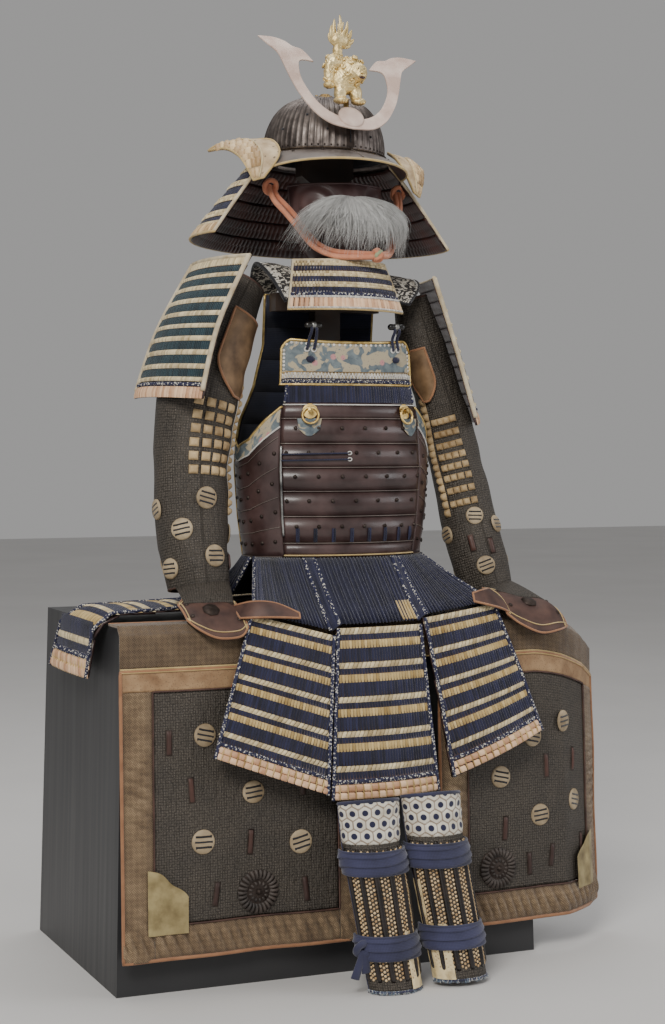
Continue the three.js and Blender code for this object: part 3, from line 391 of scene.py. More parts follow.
def knee_cloth_finish():
    """Cream cloth with a hexagon net of thin brown lines and a navy dot in each cell."""
    f = Finish("knee_cloth", (0.7, 0.66, 0.56), 0.85, Sheen_Weight=0.2, Sheen_Roughness=0.5)
    hexes = f.attribute("hex", "Vector")
    split = f.node("ShaderNodeSeparateXYZ")
    f.put(hexes, split.inputs[0])
    line = f.ramp(split.outputs["X"], (0.045, 1), (0.07, 0))
    dot = f.ramp(split.outputs["Y"], (0.23, 1), (0.26, 0))
    ground = f.ramp(f.noise(40, 4), (0.3, (0.55, 0.5, 0.4)), (0.7, (0.78, 0.75, 0.66)))
    lined = f.mix(f.math("MULTIPLY", line, 0.85), ground, (0.22, 0.15, 0.1))
    f.set("Base Color", f.mix(dot, lined, (0.012, 0.014, 0.05)))
    f.bump(f.noise(600, 2), 0.3, 0.3)
    return f.material


def gold_leather_finish():
    """Olive gilt leather, rubbed and a little crazed."""
    f = Finish("gold_leather", (0.35, 0.28, 0.12), 0.5, 0.25)
    f.worn((0.17, 0.125, 0.05), (0.46, 0.37, 0.18), 34, 0.3, 0.7, 6)
    f.bump(f.cells(210), 0.35, 0.6)
    f.bump(f.noise(60, 4), 0.4, 1.6)
    return f.material


def gold_leaf_finish():
    """Bright gold leaf on creased leather."""
    f = Finish("gold_leaf", (0.8, 0.62, 0.32), 0.38, 0.4)
    f.worn((0.34, 0.22, 0.09), (0.92, 0.76, 0.45), 42, 0.26, 0.5, 6)
    f.bump(f.cells(90, feature="DISTANCE_TO_EDGE"), 0.3, 1.4)
    f.bump(f.noise(80, 4), 0.5, 1.6)
    return f.material


def hair_finish():
    f = Finish("white_hair", (0.5, 0.5, 0.49), 0.55, Sheen_Weight=0.3, Sheen_Roughness=0.4)
    shade = f.attribute("shade", "Fac")
    # Each hair's shade value runs it from dark grey to white; the low values on the deeper hairs are painted
    # shade.
    f.set(
        "Base Color",
        f.ramp(shade, (0.0, (0.16, 0.155, 0.15)), (0.5, (0.42, 0.42, 0.41)), (1.0, (0.66, 0.66, 0.65)))
    )
    return f.material


def dotted_scale_finish(name, dark, light):
    """Small plates, each with its own shade of one leather."""
    f = Finish(name, light, 0.5)
    shade = f.attribute("shade", "Fac")
    mixed = f.math("ADD", f.math("MULTIPLY", shade, 0.6), f.math("MULTIPLY", f.noise(120, 4), 0.5))
    f.set("Base Color", f.ramp(mixed, (0.2, dark), (0.8, light)))
    f.bump(f.noise(420, 3), 0.3, 0.3)
    return f.material


STUFF = {
    "plinth": plinth_finish(),
    # The stand is coloured nearly black: painted shade, as it stands in the shadow between the helmet bowl
    # and the mask.
    "wood": lacquer_finish("stand_wood_painted_shade", (0.022, 0.013, 0.009), (0.05, 0.03, 0.02), 0.6),
    "brown_lacquer": lacquer_finish("brown_lacquer", (0.03, 0.014, 0.013), (0.085, 0.047, 0.044), 0.33),
    "mask_lacquer": lacquer_finish("mask_lacquer", (0.05, 0.022, 0.022), (0.105, 0.058, 0.055), 0.4),
    "iron": metal_finish("russet_iron", (0.03, 0.022, 0.019), (0.085, 0.068, 0.06), 0.5),
    "bowl_iron": metal_finish("bowl_iron", (0.075, 0.062, 0.057), (0.21, 0.18, 0.165), 0.42),
    "visor_lacquer": lacquer_finish("visor_lacquer", (0.1, 0.08, 0.07), (0.21, 0.175, 0.15), 0.28),
    "disc_dark": leather_finish("disc_dark", (0.02, 0.015, 0.013), (0.085, 0.066, 0.056)),
    "crest_gilt": metal_finish("crest_gilt", (0.55, 0.4, 0.16), (0.92, 0.76, 0.42), 0.42),
    "gilt_pads": leather_finish("gilt_pads", (0.26, 0.17, 0.08), (0.62, 0.46, 0.25)),
    "flap_leather": leather_finish("flap_leather", (0.1, 0.055, 0.025), (0.28, 0.17, 0.085)),
    "disc_leather": leather_finish("disc_leather", (0.24, 0.175, 0.1), (0.5, 0.4, 0.26)),
    "gold_leaf": gold_leaf_finish(),
    "black_lacquer": lacquer_finish(
        "black_lacquer", (0.006, 0.004, 0.004), (0.02, 0.012, 0.01), 0.14, scratch=0.06
    ),
    "red_lacquer": lacquer_finish("red_lacquer", (0.022, 0.006, 0.005), (0.085, 0.018, 0.012), 0.35),
    "horn": lacquer_finish(
        "polished_horn", (0.004, 0.004, 0.004), (0.02, 0.018, 0.016), 0.18, scratch=0.05
    ),
    "gold": metal_finish("gilt", (0.34, 0.21, 0.06), (0.84, 0.64, 0.27), 0.34),
    "bronze": metal_finish("gilt_bronze", (0.12, 0.07, 0.025), (0.42, 0.28, 0.11), 0.42),
    "copper": leather_finish("pale_gilt_copper", (0.5, 0.36, 0.3), (0.76, 0.62, 0.54)),
    "silver": metal_finish("dark_silver", (0.1, 0.1, 0.1), (0.5, 0.5, 0.48), 0.38),
    "navy": cord_finish("navy_cord", (0.004, 0.0045, 0.014), (0.018, 0.02, 0.062)),
    "teal": cord_finish("teal_cord", (0.004, 0.012, 0.017), (0.018, 0.05, 0.066)),
    "cream": cord_finish("cream_cord", (0.4, 0.3, 0.15), (0.86, 0.73, 0.46)),
    "gold_cord": cord_finish("gold_cord", (0.34, 0.22, 0.07), (0.72, 0.54, 0.25)),
    "orange": cord_finish("orange_cord", (0.4, 0.11, 0.05), (0.78, 0.34, 0.2), 700),
    "rust": cord_finish("rust_piping", (0.2, 0.085, 0.04), (0.44, 0.22, 0.11), 700),
    "sage": cord_finish("sage_cord", (0.2, 0.24, 0.12), (0.45, 0.5, 0.3), 700),
    "white": cord_finish("white_thread", (0.45, 0.44, 0.42), (0.82, 0.8, 0.76)),
    "black_cord": cord_finish("black_cord", (0.004, 0.004, 0.006), (0.02, 0.02, 0.026)),
    "speckled": speckled_finish(),
    "printed": printed_leather_finish(),
    "cream_leather": cream_leather_finish(),
    "tan_leather": tan_leather_finish(),
    "pale_blue": woven_finish("pale_blue_cotton", (0.12, 0.17, 0.24), (0.34, 0.42, 0.5), 1.2),
    "band_leather": band_leather_finish(),
    "gold_leather": gold_leather_finish(),
    "brown_leather": leather_finish("brown_leather", (0.04, 0.018, 0.014), (0.11, 0.055, 0.04)),
    "lining": woven_finish("blue_lining", (0.006, 0.008, 0.02), (0.02, 0.026, 0.06)),
    "indigo": woven_finish("indigo_cotton", (0.014, 0.015, 0.036), (0.05, 0.053, 0.125), 1.2),
    "brocade": brocade_finish(),
    "mail": mail_finish(),
    "knee": knee_cloth_finish(),
    "hair": hair_finish(),
    "peach": dotted_scale_finish("peach_scales", (0.5, 0.26, 0.14), (0.88, 0.6, 0.38)),
    "tan_scales": dotted_scale_finish("tan_scales", (0.36, 0.22, 0.1), (0.76, 0.57, 0.33)),
    "bronze_scales": dotted_scale_finish("bronze_scales", (0.1, 0.065, 0.035), (0.4, 0.29, 0.16)),
    "red_plates": dotted_scale_finish("red_brown_plates", (0.03, 0.014, 0.011), (0.08, 0.033, 0.024)),
}


def floor_finish():
    f = Finish("floor_paper", (0.62, 0.61, 0.6), 0.9)
    f.worn((0.6, 0.59, 0.58), (0.64, 0.63, 0.62), 1.2)
    floor.data.materials.append(f.material)


floor_finish()

# ---- forms shared by several pieces --------------------------------------------------------------


def unit(v):
    return v / np.maximum(np.linalg.norm(v, axis=-1, keepdims=True), 1e-9)


def full(s, *others):
    """The same shape for all of them, as arrays."""
    return [np.array(a, float) for a in np.broadcast_arrays(s, *others)]


def rows_at(rows, t):
    """Rows of a table, straight between them, at shares of the way down."""
    rows = np.array(rows, float)
    place = np.clip(t, 0, 1) * (len(rows) - 1)
    low = np.minimum(place.astype(int), len(rows) - 2)
    share = (place - low)[..., None]
    return rows[low] * (1 - share) + rows[low + 1] * share


def smooth_rows_at(rows, t):
    """Rows of a table on a smooth curve through them."""
    rows = np.array(rows, float)
    last = len(rows) - 1
    place = np.clip(t, 0, 1) * last
    low = np.minimum(place.astype(int), last - 1)
    f = (place - low)[..., None]
    before, after = rows[np.maximum(low - 1, 0)], rows[np.minimum(low + 2, last)]
    a, b = rows[low], rows[low + 1]
    return a + 0.5 * f * (
        b - before + f * (2 * before - 5 * a + 4 * b - after + f * (3 * (a - b) + after - before))
    )


def row_surface(rows, outward=(0, -1, 0), smooth=False):
    """Surface through rows of (left end, right end, bow, outward direction)."""
    at = smooth_rows_at if smooth else rows_at
    flat = [(*r[0], *r[1], r[2], *(Vector(r[3] if len(r) > 3 else outward).normalized())) for r in rows]

    def surface(s, t, out=0):
        s, t, out = full(s, t, out)
        row = at(flat, t)
        bow = row[..., 6] * (1 - (2 * s - 1) ** 2) + out
        straight = row[..., :3] * (1 - s[..., None]) + row[..., 3:6] * s[..., None]
        return straight + unit(row[..., 7:]) * bow[..., None]

    return surface


TORSO = [
    (686, 164, 98), (760, 174, 105), (844, 180, 109), (928, 175, 104), (987, 160, 95), (1068, 156, 90),
    (1170, 150, 78)
]
TORSO_Z, TORSO_WIDE, TORSO_DEEP = (np.array(column, float) for column in zip(*TORSO))
TORSO_CENTRE_Y = -60
WAIST_Z = 690
LAME_EDGES = [956, 928, 885, 844, 803, 760, 714, WAIST_Z]
FRONT_FROM, FRONT_TO = -46, 49


def torso(degrees, z, out=0):
    degrees, z, out = full(degrees, z, out)
    angle = np.radians(degrees)
    a = np.interp(z, TORSO_Z, TORSO_WIDE) + out
    b = np.interp(z, TORSO_Z, TORSO_DEEP) + out
    return np.stack([a * np.sin(angle), TORSO_CENTRE_Y - b * np.cos(angle), z], -1)


HELMET = {"x": -9, "y": -40, "base": 1390, "height": 112, "wide": 106, "long": 117, "roll": 2}


def round_head(degrees, wide, long, z):
    """Point round the helmet, from the front towards +X, with the helmet's small lean."""
    degrees, wide, long, z = full(degrees, wide, long, z)
    angle, roll = np.radians(degrees), math.radians(HELMET["roll"])
    x, y, rise = wide * np.sin(angle), -long * np.cos(angle), z - HELMET["base"]
    return np.stack([
        HELMET["x"] + x * math.cos(roll) + rise * math.sin(roll),
        HELMET["y"] + y,
        HELMET["base"] + rise * math.cos(roll) - x * math.sin(roll),
    ], -1)


MASK_Z = np.array([1212, 1230, 1262, 1300, 1338], float)
MASK_WIDE = np.array([48, 62, 76, 84, 87], float)
MASK_DEEP = np.array([72, 84, 90, 84, 70], float)


def mask_point(degrees, z, out=0):
    degrees, z, out = full(degrees, z, out)
    angle = np.radians(degrees)
    a = np.interp(z, MASK_Z, MASK_WIDE) + out
    b = np.interp(z, MASK_Z, MASK_DEEP) + out
    return np.stack([5 + a * np.sin(angle), -52 - b * np.cos(angle), z], -1)


# ---- meshes --------------------------------------------------------------------------------------


class Pile:
    """Vertices and faces gathered for one piece, in millimetres."""

    def __init__(self):
        self.points, self.faces, self.slots, self.lay, self.shade = [], [], [], [], []
        self.count = 0
        self.stuff = []

    def slot(self, stuff):
        if stuff not in self.stuff:
            self.stuff.append(stuff)
        return self.stuff.index(stuff)

    def add(self, points, faces, stuff, lay=None, shade=0.5):
        points = np.asarray(points, float).reshape(-1, 3)
        self.points.append(points)
        self.lay.append(
            np.zeros((len(points), 3)) if lay is None else np.asarray(lay, float).reshape(-1, 3)
        )
        self.shade.append(np.broadcast_to(np.asarray(shade, float), len(points)))
        faces = np.asarray(faces, int) + self.count
        self.faces.append(faces)
        self.slots.append(np.full(len(faces), self.slot(stuff)))
        self.count += len(points)

    def grid(self, points, stuff, closed=False, lay=None, shade=0.5):
        """Rows of points, with columns joined into a ring when closed."""
        rows, columns = points.shape[:2]
        self.add(points, grid_faces(rows, columns, closed), stuff, lay, shade)

    def sheet(self, outer, inner, stuff, closed=False, lay=None, lining=None, edge=None):
        """Cloth of two faces and its edges."""
        rows, columns = outer.shape[:2]
        lay = lay if lay is not None else measured(outer)
        faces = grid_faces(rows, columns, closed)
        start = self.count
        self.add(outer, faces, stuff, lay)
        self.add(inner, faces[:, ::-1], lining or stuff, lay)
        at = np.arange(rows * columns).reshape(rows, columns)
        rims = [(at[0, ::-1], closed), (at[-1], closed)]
        if not closed:
            rims += [(at[:, 0], False), (at[::-1, -1], False)]
        strips = []
        for line, ring in rims:
            line = np.append(line, line[0]) if ring else line
            a, b = line[:-1] + start, line[1:] + start
            inner_a, inner_b = a + rows * columns, b + rows * columns
            strips.append(np.stack([a, inner_a, inner_b, b], 1))
        strips = np.concatenate(strips)
        self.faces.append(strips)
        self.slots.append(np.full(len(strips), self.slot(edge or stuff)))

    def tube(self, line, radius, stuff, sides=8, closed=False, shade=0.5, flat=1.0, up=None):
        """Round or flattened cord along a line of points."""
        line = np.asarray(line, float)
        ring = tube_rings(line, radius, sides, closed, flat, up)
        rows = len(ring)
        if closed:
            ring = np.concatenate([ring, ring[:1]])
            rows += 1
        start = self.count
        self.grid(ring, stuff, closed=True, shade=shade)
        if not closed:
            for index in (0, rows - 1):
                centre = ring[index].mean(0)
                corner = np.arange(sides) + start + index * sides
                following = np.roll(corner, -1)
                tip = np.full(sides, self.count)
                self.points.append(centre[None])
                self.lay.append(np.zeros((1, 3)))
                self.shade.append(np.full(1, float(np.mean(shade))))
                order = (tip, corner, following) if index == 0 else (tip, following, corner)
                self.faces.append(np.stack([*order, tip], 1))
                self.slots.append(np.full(sides, self.slot(stuff)))
                self.count += 1

    def make(self, name, smooth=True):
        points = np.concatenate(self.points) * MM
        lay = np.concatenate(self.lay) * MM
        shade = np.concatenate(self.shade)
        faces = [tuple(dict.fromkeys(f)) for f in np.concatenate(self.faces).tolist()]
        slots = np.concatenate(self.slots)
        kept = [i for i, f in enumerate(faces) if len(f) > 2]
        mesh = bpy.data.meshes.new(name)
        mesh.from_pydata(points.tolist(), [], [faces[i] for i in kept])
        mesh.polygons.foreach_set("material_index", slots[kept].astype(np.int32))
        mesh.polygons.foreach_set("use_smooth", np.full(len(kept), smooth))
        write(mesh, "lay", "FLOAT_VECTOR", lay)
        write(mesh, "shade", "FLOAT", shade)
        for stuff in self.stuff:
            mesh.materials.append(STUFF[stuff])
        mesh.update()
        made = bpy.data.objects.new(name, mesh)
        show(made)
        return made


def write(mesh, name, kind, values):
    attribute = mesh.attributes.get(name) or mesh.attributes.new(name, kind, "POINT")
    attribute.data.foreach_set(
        "vector" if kind == "FLOAT_VECTOR" else "value", np.asarray(values, np.float32).ravel()
    )


def grid_faces(rows, columns, closed=False):
    across = columns if closed else columns - 1
    i, j = np.meshgrid(np.arange(rows - 1), np.arange(across), indexing="ij")
    i, j = i.ravel(), j.ravel()
    k = (j + 1) % columns
    return np.stack([i * columns + j, (i + 1) * columns + j, (i + 1) * columns + k, i * columns + k], 1)


def measured(points, start=(0, 0)):
    """Distance along and down a grid of points, for weaves and prints of a real size."""
    across = np.linalg.norm(np.diff(points, axis=1), axis=-1).mean(0)
    down = np.linalg.norm(np.diff(points, axis=0), axis=-1).mean(1)
    u = np.concatenate([[0], np.cumsum(across)]) + start[0]
    v = np.concatenate([[0], np.cumsum(down)]) + start[1]
    lay = np.zeros((*points.shape[:2], 3))
    lay[..., 0], lay[..., 1] = u[None, :], v[:, None]
    return lay


def tube_rings(line, radius, sides, closed=False, flat=1.0, up=None):
    ahead = np.gradient(line, axis=0)
    if closed:
        ahead = np.roll(line, -1, 0) - np.roll(line, 1, 0)
    ahead = unit(ahead)
    radius = np.broadcast_to(np.asarray(radius, float), len(line))
    side = np.zeros_like(line)
    guess = np.array(up if up is not None else (0.31, 0.42, 0.85), float)
    for i, direction in enumerate(ahead):
        across = guess - direction * guess.dot(direction)
        size = np.linalg.norm(across)
        guess = across / size if size > 1e-6 else np.array((1.0, 0, 0))
        side[i] = guess
    other = np.cross(ahead, side)
    turns = np.arange(sides) * 2 * math.pi / sides
    ring = side[:, None] * np.cos(turns)[None, :, None] * flat + other[:, None] * np.sin(turns)[None, :, None]
    return line[:, None] + ring * radius[:, None, None]


def curve_through(points, count):
    return smooth_rows_at(points, shares(count))


def walled(
    surface, across, down, thickness, pile, stuff, proud=0, shape=None, closed=False, lining=None, edge=None
):
    """Adds a wall on surface(s, t, out), with shape(s, t) the height of its folds."""
    s, t = np.meshgrid(across[:-1] if closed else across, down)
    lift = shape(s, t) if shape else 0
    outer = surface(s, t, proud + lift)
    inner = surface(s, t, proud + lift - thickness)
    pile.sheet(outer, inner, stuff, closed=closed, lining=lining, edge=edge)
    return outer


def edge_line(surface, side, out=0, count=40, inset=0.0):
    """Points along one edge of a surface: left, right, top or bottom."""
    run = shares(count)
    fixed = {"left": inset, "right": 1 - inset, "top": inset, "bottom": 1 - inset}[side]
    if side in ("left", "right"):
        return surface(np.full(count, fixed), run, out)
    return surface(run, np.full(count, fixed), out)


def all_round(surface, out=0, across=30, down=30, inset=0.0):
    """Points round all four edges of a surface."""
    lines = [
        edge_line(surface, side, out, n, inset)[:-1] for side, n in (("left", down), ("bottom", across))
    ]
    back = [
        edge_line(surface, side, out, n, inset)[::-1][:-1] for side, n in (("right", down), ("top", across))
    ]
    return np.concatenate([*lines, *back])


# ---- repeated pieces ---------------------------------------------------------------------------------


def seats(surface, s, t, out=0, turn=0.0, tip=0.0):
    """Places on a surface: points with the angles that lay a piece flat on it, X across and Y up."""
    s, t, out = full(s, t, out)
    e = 2e-3
    across = unit(surface(s + e, t, out) - surface(s - e, t, out))
    down = surface(s, np.minimum(t + e, 1), out) - surface(s, np.maximum(t - e, 0), out)
    away = unit(np.cross(across, -down))
    up = np.cross(away, across)
    if np.any(turn):
        turn = np.radians(np.broadcast_to(turn, s.shape))[..., None]
        across, up = across * np.cos(turn) + up * np.sin(turn), up * np.cos(turn) - across * np.sin(turn)
    if tip:
        angle = math.radians(tip)
        cos, sin = math.cos(angle), math.sin(angle)
        up, away = up * cos + away * sin, away * cos - up * sin
    return surface(s, t, out).reshape(-1, 3), angles_of(across, up, away)


def angles_of(across, up, away):
    x, y, z = (a.reshape(-1, 3) for a in (across, up, away))
    tilt = -np.arcsin(np.clip(x[:, 2], -1, 1))
    return np.stack([np.arctan2(y[:, 2], z[:, 2]), tilt, np.arctan2(x[:, 1], x[:, 0])], 1)


REPEAT_SEED = 7


def repeat_tree():
    """Geometry nodes: one piece at each point, turned and sized by the point's own values."""
    tree = bpy.data.node_groups.new("repeat_piece", "GeometryNodeTree")
    face = tree.interface
    face.new_socket("Places", in_out="INPUT", socket_type="NodeSocketGeometry")
    face.new_socket("Piece", in_out="INPUT", socket_type="NodeSocketObject")
    face.new_socket("Finish", in_out="INPUT", socket_type="NodeSocketMaterial")
    seed = face.new_socket("Seed", in_out="INPUT", socket_type="NodeSocketInt")
    seed.default_value = REPEAT_SEED
    face.new_socket("Pieces", in_out="OUTPUT", socket_type="NodeSocketGeometry")
    new, link = tree.nodes.new, tree.links.new
    source, result = new("NodeGroupInput"), new("NodeGroupOutput")
    info, on_points = new("GeometryNodeObjectInfo"), new("GeometryNodeInstanceOnPoints")
    realize, paint = new("GeometryNodeRealizeInstances"), new("GeometryNodeSetMaterial")
    keep = new("GeometryNodeStoreNamedAttribute")
    keep.data_type, keep.domain = "FLOAT", "INSTANCE"
    keep.inputs["Name"].default_value = "shade"
    chance = new("FunctionNodeRandomValue")
    chance.data_type = "FLOAT"
    angles, sizes = new("GeometryNodeInputNamedAttribute"), new("GeometryNodeInputNamedAttribute")
    for node, name in ((angles, "angles"), (sizes, "sizes")):
        node.data_type = "FLOAT_VECTOR"
        node.inputs["Name"].default_value = name
    to_rotation = new("FunctionNodeEulerToRotation")
    link(angles.outputs["Attribute"], to_rotation.inputs["Euler"])
    link(source.outputs["Places"], on_points.inputs["Points"])
    link(source.outputs["Piece"], info.inputs["Object"])
    link(info.outputs["Geometry"], on_points.inputs["Instance"])
    link(to_rotation.outputs["Rotation"], on_points.inputs["Rotation"])
    link(sizes.outputs["Attribute"], on_points.inputs["Scale"])
    link(source.outputs["Seed"], chance.inputs["Seed"])
    link(on_points.outputs["Instances"], keep.inputs["Geometry"])
    link(next(o for o in chance.outputs if o.type == "VALUE" and o.enabled), keep.inputs["Value"])
    link(keep.outputs["Geometry"], realize.inputs["Geometry"])
    link(realize.outputs["Geometry"], paint.inputs["Geometry"])
    link(source.outputs["Finish"], paint.inputs["Material"])
    link(paint.outputs["Geometry"], result.inputs["Pieces"])
    return tree


REPEAT = repeat_tree()
INPUTS = {item.name: item.identifier for item in REPEAT.interface.items_tree if item.in_out == "INPUT"}


def repeated(name, places, piece, stuff, sizes=(1, 1, 1)):
    """Plain mesh of one small piece repeated at all the places."""
    points, angles = (np.concatenate(part) for part in zip(*places))
    if isinstance(sizes, list):
        sizes = np.concatenate(
            [np.broadcast_to(size, (len(place[0]), 3)) for size, place in zip(sizes, places)]
        )
    else:
        sizes = np.broadcast_to(sizes, (len(points), 3))
    host = bpy.data.meshes.new(name)
    host.from_pydata((points * MM).tolist(), [], [])
    write(host, "angles", "FLOAT_VECTOR", angles)
    write(host, "sizes", "FLOAT_VECTOR", sizes)
    holder = bpy.data.objects.new(name + "_places", host)
    show(holder)
    layer = holder.modifiers.new("repeat", "NODES")
    layer.node_group = REPEAT
    layer[INPUTS["Piece"]] = piece
    layer[INPUTS["Finish"]] = STUFF[stuff]
    layer[INPUTS["Seed"]] = REPEAT_SEED
    bpy.context.view_layer.update()
    evaluated = holder.evaluated_get(bpy.context.evaluated_depsgraph_get())
    mesh = bpy.data.meshes.new_from_object(evaluated)
    bpy.data.objects.remove(holder)
    made = bpy.data.objects.new(name, mesh)
    show(made)
    return made


def joined(name, parts):
    """One object from several meshes that are made of different stuffs."""
    with bpy.context.temp_override(
        active_object=parts[0], selected_editable_objects=parts, object=parts[0]
    ):
        bpy.ops.object.join()
    parts[0].name = name
    parts[0].data.name = name
    return parts[0]


def finished(piece, slot, *nodes, body=BODY):
    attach(piece, body)
    if nodes:
        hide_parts(*nodes)
    return piece


def template(name, pile, smooth=True):
    """A small piece that is repeated, kept out of the picture."""
    made = pile.make(name, smooth)
    made.data.materials.clear()
    made.data.attributes.remove(made.data.attributes["shade"])
    bpy.context.scene.collection.objects.unlink(made)
    return made


def crowned(across, down, height, slant=0.0):
    """Small crowned patch of unit size; slant leans it sideways."""
    u, v = np.meshgrid(np.linspace(-0.5, 0.5, across), np.linspace(0.5, -0.5, down))
    return np.stack([u + v * slant, v, height(2 * u, 2 * v)], -1)


def patch(name, points, smooth=True):
    pile = Pile()
    pile.grid(points, "navy")
    return template(name, pile, smooth)


CORD_BAR = patch(
    "cord_bar", crowned(4, 4, lambda u, v: np.sqrt(np.clip(1 - u**2, 0, 1)) * (1 - 0.75 * np.abs(v) ** 9))
)
TWIST = patch(
    "twist",
    crowned(5, 4, lambda u, v: np.sqrt(np.clip(1 - u**2, 0, 1) * np.clip(1 - np.abs(v) ** 3, 0, 1)), 0.6)
)
LOZENGE = patch(
    "lozenge", crowned(5, 5, lambda u, v: np.clip(1 - u**2, 0, 1) ** 0.5 * np.clip(1 - v**2, 0, 1) ** 0.5)
)
PLATE = patch("plate", crowned(6, 6, lambda u, v: (1 - np.abs(u) ** 7) * (1 - np.abs(v) ** 7)))


def lathe(profile, sides=16):
    """Rings of a turned piece whose axis points out of what it sits on: rows of (radius, height)."""
    profile = np.array(profile, float)
    turns = turns_of(sides)
    ring = np.stack([np.cos(turns), np.sin(turns)], -1)
    points = np.zeros((len(profile), sides, 3))
    points[..., :2] = profile[:, None, :1] * ring[None]
    points[..., 2] = profile[:, 1:2]
    return points[:, ::-1]


def turned(name, profile, sides=16):
    pile = Pile()
    pile.grid(lathe(profile, sides), "navy", closed=True)
    return template(name, pile)


RIVET = turned("rivet", [(1, 0), (0.9, 0.45), (0.58, 0.85), (0.01, 1)], 7)

# A row of lacing: the piece that repeats, its stuff, its pitch along the row and its height above the lame.
ROWS = {
    "cream": (TWIST, "cream", 7.4, 2.8),
    "gold": (CORD_BAR, "gold_cord", 5.4, 2.6),
    "navy": (CORD_BAR, "navy", 5.0, 1.6),
    "teal": (CORD_BAR, "teal", 4.6, 1.5),
    "fine_cream": (TWIST, "cream", 5.5, 2.4),
    "lozenge": (LOZENGE, "cream", 5.6, 2.6),
    "peach": (PLATE, "peach", 13.0, 3.0),
    "slats": (CORD_BAR, "peach", 8.0, 2.4),
    "knots": (LOZENGE, "speckled", 9.0, 3.0),
    "cream_bars": (CORD_BAR, "cream", 4.6, 2.0),
    "cream_gaps": (CORD_BAR, "gold_cord", 13.0, 3.2),
    "red": (CORD_BAR, "red_lacquer", 9.0, 1.8),
    "tan_bars": (CORD_BAR, "tan_scales", 6.0, 2.2),
    "turned": (PLATE, "tan_scales", 11.0, 3.4),
    "knot_white": (LOZENGE, "white", 5.0, 2.6),
}


class Lacing:
    """Rows of cord and small plates on one laced surface."""

    def __init__(self, surface):
        self.surface = surface
        self.kinds = {}

    def row(self, kind, top, bottom, out=0.0, start=0.0, end=1.0, narrow=0.94, shift=0.0, tip=0.0):
        pitch, rise = ROWS[kind][2:]
        middle = (top + bottom) / 2
        line = self.surface(np.linspace(start, end, 9), np.full(9, middle), out)
        width = np.linalg.norm(np.diff(line, axis=0), axis=1).sum()
        count = max(1, round(width / pitch))
        s = start + (np.arange(count) + 0.5 + shift) / count * (end - start)
        s = s[(s > start) & (s < end)]
        share = narrow if kind != "cream_gaps" else 0.16
        ends = self.surface(np.array([0.5, 0.5]), np.array([top, bottom]), out)
        tall = np.linalg.norm(ends[1] - ends[0])
        places, sizes = self.kinds.setdefault(kind, ([], []))
        places.append(seats(self.surface, s, middle, out, tip=tip))
        sizes.append((width / count * share, tall, rise))
        return self

    def parts(self, name):
        return [
            repeated(f"{name}_{kind}", places, ROWS[kind][0], ROWS[kind][1], sizes)
            for kind, (places, sizes) in self.kinds.items()
        ]


def lame_shell(pile, surface, edges, thickness, step, stuff, across=24, start=0.0, end=1.0, lining=None):
    """Overlapping lames under the lacing, each with its own lower edge standing proud."""
    for top, bottom in zip(edges[:-1], edges[1:]):
        s, t = np.meshgrid(np.linspace(start, end, across), np.array([top, (top + bottom) / 2, bottom]))
        lean = np.array([0, 0.5, 1])[:, None] * step
        pile.sheet(surface(s, t, lean), surface(s, t, lean - thickness), stuff, lining=lining)


# ---- plinth and stand ----------------------------------------------------------------------------


def softened(node, stuff, width, segments=3):
    """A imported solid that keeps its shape, with eased edges and a better finish."""
    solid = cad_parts[node]
    edge = solid.modifiers.new("eased_edges", "BEVEL")
    edge.width = width * MM
    edge.segments = segments
    edge.limit_method = "ANGLE"
    solid.data.materials.clear()
    solid.data.materials.append(STUFF[stuff])


softened("plinth", "plinth", 3)
# The stand takes the near-black wood, whose darkness is painted shade.
softened("armour_stand", "wood", 2)

# ---- tassets -------------------------------------------------------------------------------------

UP = (0, 0, 1)
TASSETS = {
    "front_centre": [((-82, -268, 580), (72, -268, 582), 8), ((-103, -294, 300), (94, -294, 304), 16)],
    "front_right": [
        ((-228, -252, 606), (-86, -270, 568), 6, (-0.3, -0.95, 0.1)),
        ((-304, -284, 381), (-107, -296, 309), 12, (-0.3, -0.95, 0.1)),
    ],
    "front_left": [
        ((76, -270, 592), (219, -254, 610), 6, (0.3, -0.95, 0.1)),
        ((98, -284, 460), (262, -266, 500), 10, (0.3, -0.95, 0.1)),
        ((118, -296, 324), (298, -282, 392), 12, (0.3, -0.95, 0.1)),
    ],
    "side_right": [
        ((-204, 60, 607), (-204, -66, 607), 4, (-0.2, 0, 1)),
        ((-330, 40, 605), (-330, -120, 605), 6, UP),
        ((-436, 12, 605), (-436, -160, 605), 6, (-0.3, 0, 1)),
        ((-464, 40, 580), (-464, -154, 580), 6, (-1, 0, 0.4)),
        ((-467, 101, 500), (-467, -128, 500), 6, (-1, 0, 0)),
    ],
    "side_left": [
        ((204, -66, 606), (204, 60, 606), 4, (0.2, 0, 1)),
        ((250, -70, 604), (250, 74, 604), 5, UP),
        ((297, -74, 605), (297, 84, 605), 5, (0.3, 0, 1)),
        ((325, -84, 576), (325, 98, 576), 6, (1, 0, 0.4)),
        ((328, -100, 400), (328, 124, 400), 6, (1, 0, 0)),
    ],
    "back_right": [
        ((-12, 86, 606), (-150, 86, 606), 4, (0, 0.2, 1)),
        ((-12, 160, 604), (-168, 160, 604), 5, UP),
        ((-12, 223, 605), (-180, 223, 605), 5, (0, 0.3, 1)),
        ((-12, 250, 576), (-190, 250, 576), 6, (0, 1, 0.4)),
        ((-12, 254, 430), (-208, 254, 430), 6, (0, 1, 0)),
    ],
    "back_left": [
        ((150, 86, 606), (12, 86, 606), 4, (0, 0.2, 1)),
        ((168, 160, 604), (12, 160, 604), 5, UP),
        ((180, 223, 605), (12, 223, 605), 5, (0, 0.3, 1)),
        ((190, 250, 576), (12, 250, 576), 6, (0, 1, 0.4)),
        ((208, 254, 430), (12, 254, 430), 6, (0, 1, 0)),
    ],
}


